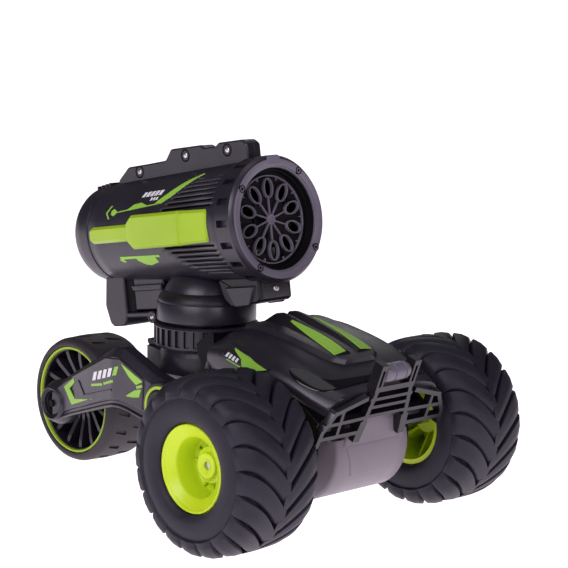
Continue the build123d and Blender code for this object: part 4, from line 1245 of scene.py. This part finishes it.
def turnedBack(profile):
    # (back, radius) pairs become the (radius, height) that turned() wants, height counted forwards
    return [(r, -back) + tuple(rest) for back, r, *rest in profile]


barrelAxisPlace = framed(muzzleAt, barrelUp, np.cross(barrelAxis, barrelUp), barrelAxis)


def muzzlePieces():
    # the notched ring, the face plate with its screws, and the steps that lead in to the loops, painted near black
    # as shade
    r = muzzle["radius"]
    ring = [(14.0, 27.4, 0), (14.0, r - 0.5, 0), (13.6, r, 0), (12.4, r, 0), (12.3, r, 1), (4.3, r, 1),
            (4.2, r, 0), (2.8, r, 0), (2.2, r - 0.4, 0), (0.7, r - 1.6, 0), (0.6, 31.5, 0),
            (2.6, 31.4, 0), (2.7, 28.6, 0), (12, 28.6, 0), (12, 27.4, 0)]
    notched = pocketed(turnedBack(ring), (muzzle["notchDeep"], 0), muzzle["notches"], muzzle["notchHalf"],
                       barrelAxisPlace, 8, muzzle["notchTurn"])
    piece("muzzleRing", [notched], finishes["shell"], "cannon", ["muzzle_ring"],
          sharp=32)
    face = [(2.5, 26.7), (2.5, 31.3), (0.3, 31.3), (0, 31.0), (0, 28.0), (0.3, 27.5), (1.0, 27.3),
            (1.3, 26.8)]
    shells = [turned(turnedBack(face), 144, barrelAxisPlace)]
    tab = [(29.2, -5.6), (33.2, -3.4), (33.2, 3.4), (29.2, 5.6), (28.0, 3.0), (28.0, -3.0)]
    shells.append(prism(rounded(tab, 0.8, 3), (-1.5, -0.3, 0.02), (0, 0, 0.3), barrelAxisPlace))
    piece("facePlate", shells, finishes["face"], "cannon", ["face_plate"], sharp=35)
    well = [(0, -1.0), (2.1, -1.0), (2.1, 0.1), (1.8, 0.24), (1.5, 0.1), (1.4, -0.3), (0, -0.35)]
    head = [(0, -0.5), (1.1, -0.5), (1.1, -0.15), (0.8, 0.05), (0, 0.1)]
    turns = np.radians(muzzle["screwTurn"] + 90 * np.arange(4))
    spots = [shifted(barrelAxisPlace, at) for at in around(muzzle["screwR"], -turns, 0)]
    wells = [turned(well, 28, spot) for spot in spots]
    screws = [turned(head, 20, spot) for spot in spots]
    # painted shade: the four wells and the screws in them take the near-black shade finish
    piece("faceWells", wells, finishes["paintedShade"], "cannon", sharp=40)
    piece("faceScrews", screws, finishes["paintedShade"], "cannon", ["face_screws"], sharp=40)
    # painted shade: the steps into the muzzle take the near-black shade finish
    steps = [(9.2, 27.2), (2.4, 27.2), (2.4, 26.4), (5.2, 26.2), (5.3, 25.3), (7.6, 25.1), (7.7, 24.3),
             (9.2, 24.2)]
    piece("muzzleSteps", [turned(turnedBack(steps), 120, barrelAxisPlace)], finishes["paintedShade"], "cannon",
          sharp=35)
    loopPieces()
    print("muzzle made")


def ovalRing(centre, size, tube, place):
    # a closed bead of square-ish section carried round an oval
    turn = np.arange(40) * tau / 40
    loop = [(-tube, 0.0), (-tube, 1.5), (-tube * 0.5, 1.9), (tube * 0.5, 1.9), (tube, 1.5), (tube, 0.0)]
    along, across = centre + size[0] * np.cos(turn), size[1] * np.sin(turn)
    rows = [np.stack([along + out * np.cos(turn), across + out * np.sin(turn), high + 0 * turn], -1)
            for out, high in loop]
    return skin(place(np.stack(rows, 1)), wrapRows=True, wrapColumns=True)


def loopPieces():
    # ten equal sectors: each has an oval hole with a bead round it, a spoke to the hub and, on the
    # line between two sectors, a short tick at the rim
    count = muzzle["loops"]
    disc, bright = [], []
    points, faces = webbed(count)
    low, high, edge = -7.9, (-7.9, -6.9, -6.7), (0, 0, 0.12)
    spoke = rounded([(2.6, -0.42), (11.0, -0.34), (11.0, 0.34), (2.6, 0.42)], 0.2, 2)
    tick = rounded([(20.9, -0.3), (22.8, -0.26), (22.8, 0.26), (20.9, 0.3)], 0.2, 2)
    for turn in np.arange(count) * tau / count:
        def place(p, turn=turn):
            return barrelAxisPlace(np.asarray(p) @ spun(turn))

        def between(p, turn=turn):
            return barrelAxisPlace(np.asarray(p) @ spun(math.pi / count) @ spun(turn))
        disc.append((place(points), faces))
        bright.append(ovalRing(muzzle["loopAt"], (5.0, 3.0), 0.42, shifted(place, (0, 0, low))))
        bright.append(prism(spoke, high, edge, place))
        bright.append(prism(tick, high, edge, between))
    rim = [(22.5, -8), (22.5, -6.8), (22.7, -6.5), (23.1, -6.5), (23.3, -6.8), (23.3, -8)]
    bright.append(turned(rim, 96, barrelAxisPlace))
    hub = [(0, -8), (2.8, -8), (2.8, -6.4), (2.5, -6.1), (1.9, -6.2), (1.7, -6.8), (0, -6.9)]
    bright.append(turned(hub, 32, barrelAxisPlace))
    # painted shade: the web between the loops takes the near-black shade finish, while the beads, spokes, ticks,
    # rim and hub stay grey
    piece("loopDisc", disc, finishes["paintedShade"], "cannon", ["bubble_loops"], sharp=35)
    piece("loopRings", bright, finishes["face"], "cannon", sharp=40)
    refined("wiper", "wiperBlades", finishes["black"], "wiper_rotor", bevel=0.3)


def webbed(count):
    # one sector of the loop disc with its oval hole: rings run from the hole's edge to the sector's
    # edge, which is the nearer of its two straight sides and its outer arc along each ray
    turn = np.arange(48) * tau / 48
    at = muzzle["loopAt"]
    hole = np.stack([at + 4.8 * np.cos(turn), 2.8 * np.sin(turn)], 1)
    half, outer = math.pi / count, 28.4
    ray = np.stack([np.cos(turn), np.sin(turn)], 1)
    facing = np.abs(ray[:, 1]) * math.cos(half) - ray[:, 0] * math.sin(half)
    wall = np.where(facing > 0, at * math.sin(half) / np.maximum(facing, 1e-6), 1e3)
    arc = -at * ray[:, 0] + np.sqrt((at * ray[:, 0]) ** 2 + outer**2 - at**2)
    reach = np.minimum(wall, arc)[:, None]
    rim = np.array([at, 0]) + ray * reach
    layers = [(hole, -9.1), (hole, -7.9), (rim, -7.9), (rim, -9.1)]
    grid = np.array([np.column_stack([ring, np.full(48, high)]) for ring, high in layers])
    return skin(grid, wrapRows=True, wrapColumns=True)


keel = {
    "post": [(118, -24), (118, -46), (119.6, -51), (122, -52), (131, -52), (133.6, -50), (136.6, -40),
             (133.8, -24)],
    "panel": [(86.5, -25), (86.5, -43.6), (112, -43.6), (112, -25)],
    "lip": [(86.5, -29.4), (86.5, -33), (110.6, -33), (113, -29.4)],
    "rail": [(96, -44.6), (96, -47.6), (119, -47.6), (119, -44.6)],
    "recess": [(111.6, -24), (111.6, -44.8), (118.6, -44.8), (118.6, -24)],
    "chin": [(8.4, -29), (8.4, -41.4), (11, -42.8), (31, -44.4), (36.5, -40), (40.4, -28.4)],
    "cheek": [(10.5, -33.4), (34.0, -33.4), (27.4, -44.6), (15.5, -44.0)],
    "plate": [(8.1, -31.4), (8.1, -41.0), (9.4, -41.6), (9.4, -30.8)],
}


def acrossBarrel(name, half, edge=0.7, inner=None):
    # a side outline of the keel carried across the barrel's middle, or from inner to half on both sides
    outline = rounded(keel[name], 0.9, 3)
    if inner is None:
        levels = (-half, edge - half, half - edge, half)
        return [prism(outline, levels, (edge, 0, 0, edge), barrelPlace, (0, 2, 1))]
    levels = np.array([inner, half - edge, half])
    return [prism(outline, side * levels, (0, 0, edge), barrelPlace, (0, 2, 1)) for side in (-1, 1)]


def keelPieces():
    # what hangs under the barrel: the tray behind, with a knob on each side, and the chin in front
    tray = acrossBarrel("post", 12.9) + acrossBarrel("panel", 10.8) + acrossBarrel("rail", 12.5)
    tray += acrossBarrel("lip", 12.7, 0.6)
    knob = [(0, 9.4), (3.0, 9.4), (3.4, 9.8), (3.4, 12.0), (2.9, 12.5), (2.0, 12.4), (1.8, 11.6),
            (0, 11.6)]
    head = [(0, 11.4), (1.5, 11.4), (1.5, 12.0), (1.1, 12.3), (0, 12.4)]
    spots = [shifted(barrelSide(-side), (97.6, 0, -47.6), (0, 2, 1)) for side in (-1, 1)]
    knobs = [turned(knob, 32, spot) for spot in spots]
    screws = [turned(head, 24, spot) for spot in spots]
    piece("rearTray", tray + knobs, finishes["shell"], "cannon", ["rear_tray"],
          bevel=0.25)
    # painted shade: the recess in the tray takes the near-black shade finish
    piece("trayRecess", acrossBarrel("recess", 11.0), finishes["paintedShade"], "cannon",
          sharp=30)
    front = framed(barrelPlace([8.1, 0, -36]), barrelUp, (0, 1, 0), barrelAxis)
    chinScrew = [(0, -0.4), (1.9, -0.4), (1.9, 0.3), (1.5, 0.7), (0.7, 0.8), (0.5, 0.4), (0, 0.4)]
    screws.append(turned(chinScrew, 28, front))
    piece("chinBracket", acrossBarrel("chin", 11.8, 1.0), finishes["black"], "cannon", ["chin_bracket"],
          bevel=0.25)
    piece("chinPlates", acrossBarrel("cheek", 12.9, 0.8, 11.4) + acrossBarrel("plate", 9.5, 0.6),
          finishes["shell"], "cannon", bevel=0.2)
    piece("keelScrews", screws, finishes["steel"], "cannon", sharp=40)


def ventShadeSleeve():
    # painted shade: a near-black inner sleeve that shows through the vents, standing in for the shaded inside of
    # the barrel
    backs = [15.0, 70.0, 126.0]
    inner = [(barrelRadius(back) - 3.1, -back) for back in backs]
    outer = [(barrelRadius(back) - 2.4, -back) for back in backs[::-1]]
    piece("ventShadeSleeve", [turned(inner + outer, 96, barrelAxisPlace)], finishes["paintedShade"], "cannon",
          sharp=40)


def cannonPieces():
    ventShadeSleeve()
    for side, name in ((1, "left"), (-1, "right")):
        piece(f"barrelShell_{name}", barrelShells(side), finishes["shell"], "cannon",
              [f"barrel_shell_{name}"], sharp=40, wall=2.0)
        piece(f"crest_{name}", crestShells(side), finishes["shell"], "cannon",
              bevel=0.25, sharp=30)
        # painted shade: the crest's wells take the near-black shade finish
        piece(f"crestWells_{name}", crestWells(side), finishes["paintedShade"], "cannon",
              sharp=40)
        piece(f"crestScrews_{name}", crestWells(side, True), finishes["steel"], "cannon",
              sharp=40)
        piece(f"sideBar_{name}", barPieces(side), finishes["lime"], "cannon", [f"side_bar_{name}"],
              bevel=0.3, sharp=26)
        on = onBarrel(side)
        marks = [ruled(left, right, 6, 4, -0.3, 0.22, 0.05, on) for left, right in barrelArt]
        piece(f"barrelMarks_{name}", marks, finishes["ink"], "cannon")
        bars = []
        for count, pitch, start, end, wide in barrelBars:
            for k in range(count):
                left = [(back - pitch * k, high) for back, high in (start, end)]
                right = [(back - wide, high) for back, high in left]
                bars.append(ruled(left, right, 2, 3, -0.3, 0.22, 0.05, on))
        piece(f"barrelBars_{name}", bars, finishes["print"], "cannon")
    cap = [(127.1, 24.5), (127.1, 27.5), (127.5, 28.1), (134, 27.7), (138.6, 26.9), (141.8, 25.2),
           (144.2, 22.6), (145, 20.2), (145, 9.0), (144.4, 8.6), (144.4, 0), (142.6, 0), (142.6, 19.5),
           (138, 24.3)]
    ribs = []
    for back, high in zip(127.4 + 3.5 * np.arange(4), 28.7 - 0.4 * np.arange(4)):
        outline = rounded([(back, 20), (back, high), (back + 1.8, high), (back + 1.8, 20)], 0.4, 2)
        ribs.append(prism(outline, (-8, -7.4, 7.4, 8), (0.5, 0, 0, 0.5), barrelPlace, (0, 2, 1)))
    piece("tailCap", [turned(turnedBack(cap), 120, barrelAxisPlace)] + ribs, finishes["shell"], "cannon",
          ["tail_cap"], sharp=30)
    refined("filler_plug", "fillerPlug", finishes["black"], "cannon")
    keelPieces()
    muzzlePieces()
    print("cannon made")


# ---- every other node keeps its shape and takes its slot's finish ----
def dressNodes():
    slots = {entry["node"]: entry["material_slot"] for entry in frame["record"]["subparts"]}
    shadedNodes = {"rear_axle": "paintedShade"}  # painted shade: its ends lie deep in the hubs, so it takes the near-black shade finish instead of its slot's finish
    for name, node in frame["nodes"].items():
        node.data.materials.clear()
        usual = slotFinish[slots.get(name, "shell_black")]
        node.data.materials.append(finishes[shadedNodes.get(name, usual)])
    print("nodes dressed:", len(slots))


# ---- floor, light and camera ----
studio = {
    "lights": [  # name, place, target, size, power, colour
        ("key", (0.25, -1.15, 0.85), (0.0, 0, 0.09), (0.9, 0.6), 11.0, (1.0, 0.93, 1.05)),
        ("front", (1.25, -0.35, 0.75), (0.05, 0, 0.07), (0.6, 0.4), 4.0, (1.0, 0.92, 1.04)),
        ("top", (0.1, 0.1, 1.35), (0.0, 0, 0.08), (0.7, 0.7), 1.6, (1.0, 0.98, 1.0)),
        ("rim", (-0.8, 0.95, 0.8), (0, 0, 0.1), (0.7, 0.5), 1.3, (1.0, 1.0, 1.0)),
    ],
    "world": 0.06, "floor": colour(0.5, 0.48, 0.51), "floorLight": colour(0.54, 0.52, 0.55),
    "glow": colour(1.0, 0.92, 1.0), "floorGlow": 1.3, "floorHalf": 300.0, "exposure": 0.0,
}
shot = {"place": (0.7778, -0.6921, 0.2697), "target": (0.0, 0.05246, 0.10914), "roll": 0.39,
        "lens": 123.43, "sensor": 36.0, "clip": (0.05, 600.0)}


def setStage():
    side = studio["floorHalf"]
    corner = np.array([(-side, -side, 0), (side, -side, 0), (side, side, 0), (-side, side, 0)]) / mm
    mesh = makeMesh("floor", [(corner, [np.array([[0, 1, 2, 3]])])])
    floor = shown("floor", mesh)
    recipe = Recipe("paleFloor")
    cloud = recipe.ramp(recipe.noise(3.0, 3.0), [(0.3, 0.0), (0.8, 1.0)])
    tone = recipe.mixed(cloud, studio["floor"], studio["floorLight"])
    mesh.materials.append(recipe.finished(Base_Color=tone, Roughness=0.7, Specular_IOR_Level=0.2,
                                          Emission_Color=studio["glow"],
                                          Emission_Strength=studio["floorGlow"]))
    world = bpy.data.worlds.new("studio")
    bpy.context.scene.world = world
    world.use_nodes = True
    background = world.node_tree.nodes["Background"]
    background.inputs["Color"].default_value = (1, 1, 1, 1)
    background.inputs["Strength"].default_value = studio["world"]
    for name, place, target, size, power, tint in studio["lights"]:
        light = bpy.data.lights.new(name, "AREA")
        light.shape = "RECTANGLE"
        light.size, light.size_y = size
        light.energy = power
        light.color = tint
        lamp = shown(name, light)
        lamp.location = place
        lamp.rotation_mode = "QUATERNION"
        lamp.rotation_quaternion = (Vector(target) - Vector(place)).to_track_quat("-Z", "Y")
    bpy.context.scene.view_settings.view_transform = "Standard"
    bpy.context.scene.view_settings.exposure = studio["exposure"]


def setCamera():
    data = bpy.data.cameras.new("camera")
    camera = shown("camera", data)
    data.lens = shot["lens"]
    data.sensor_width = shot["sensor"]
    data.clip_start, data.clip_end = shot["clip"]
    camera.location = shot["place"]
    camera.rotation_mode = "QUATERNION"
    aim = (Vector(shot["target"]) - Vector(shot["place"])).to_track_quat("-Z", "Y")
    camera.rotation_quaternion = aim @ Quaternion((0, 0, 1), math.radians(shot["roll"]))
    bpy.context.scene.camera = camera


setCamera()
setStage()
dressNodes()
frontWheels()
rearWheel()
rearArms()
hoodPieces()
nosePieces()
guardPieces()
chassisPieces()
turretPieces()
cannonPieces()
bpy.context.view_layer.update()
print("all pieces made")
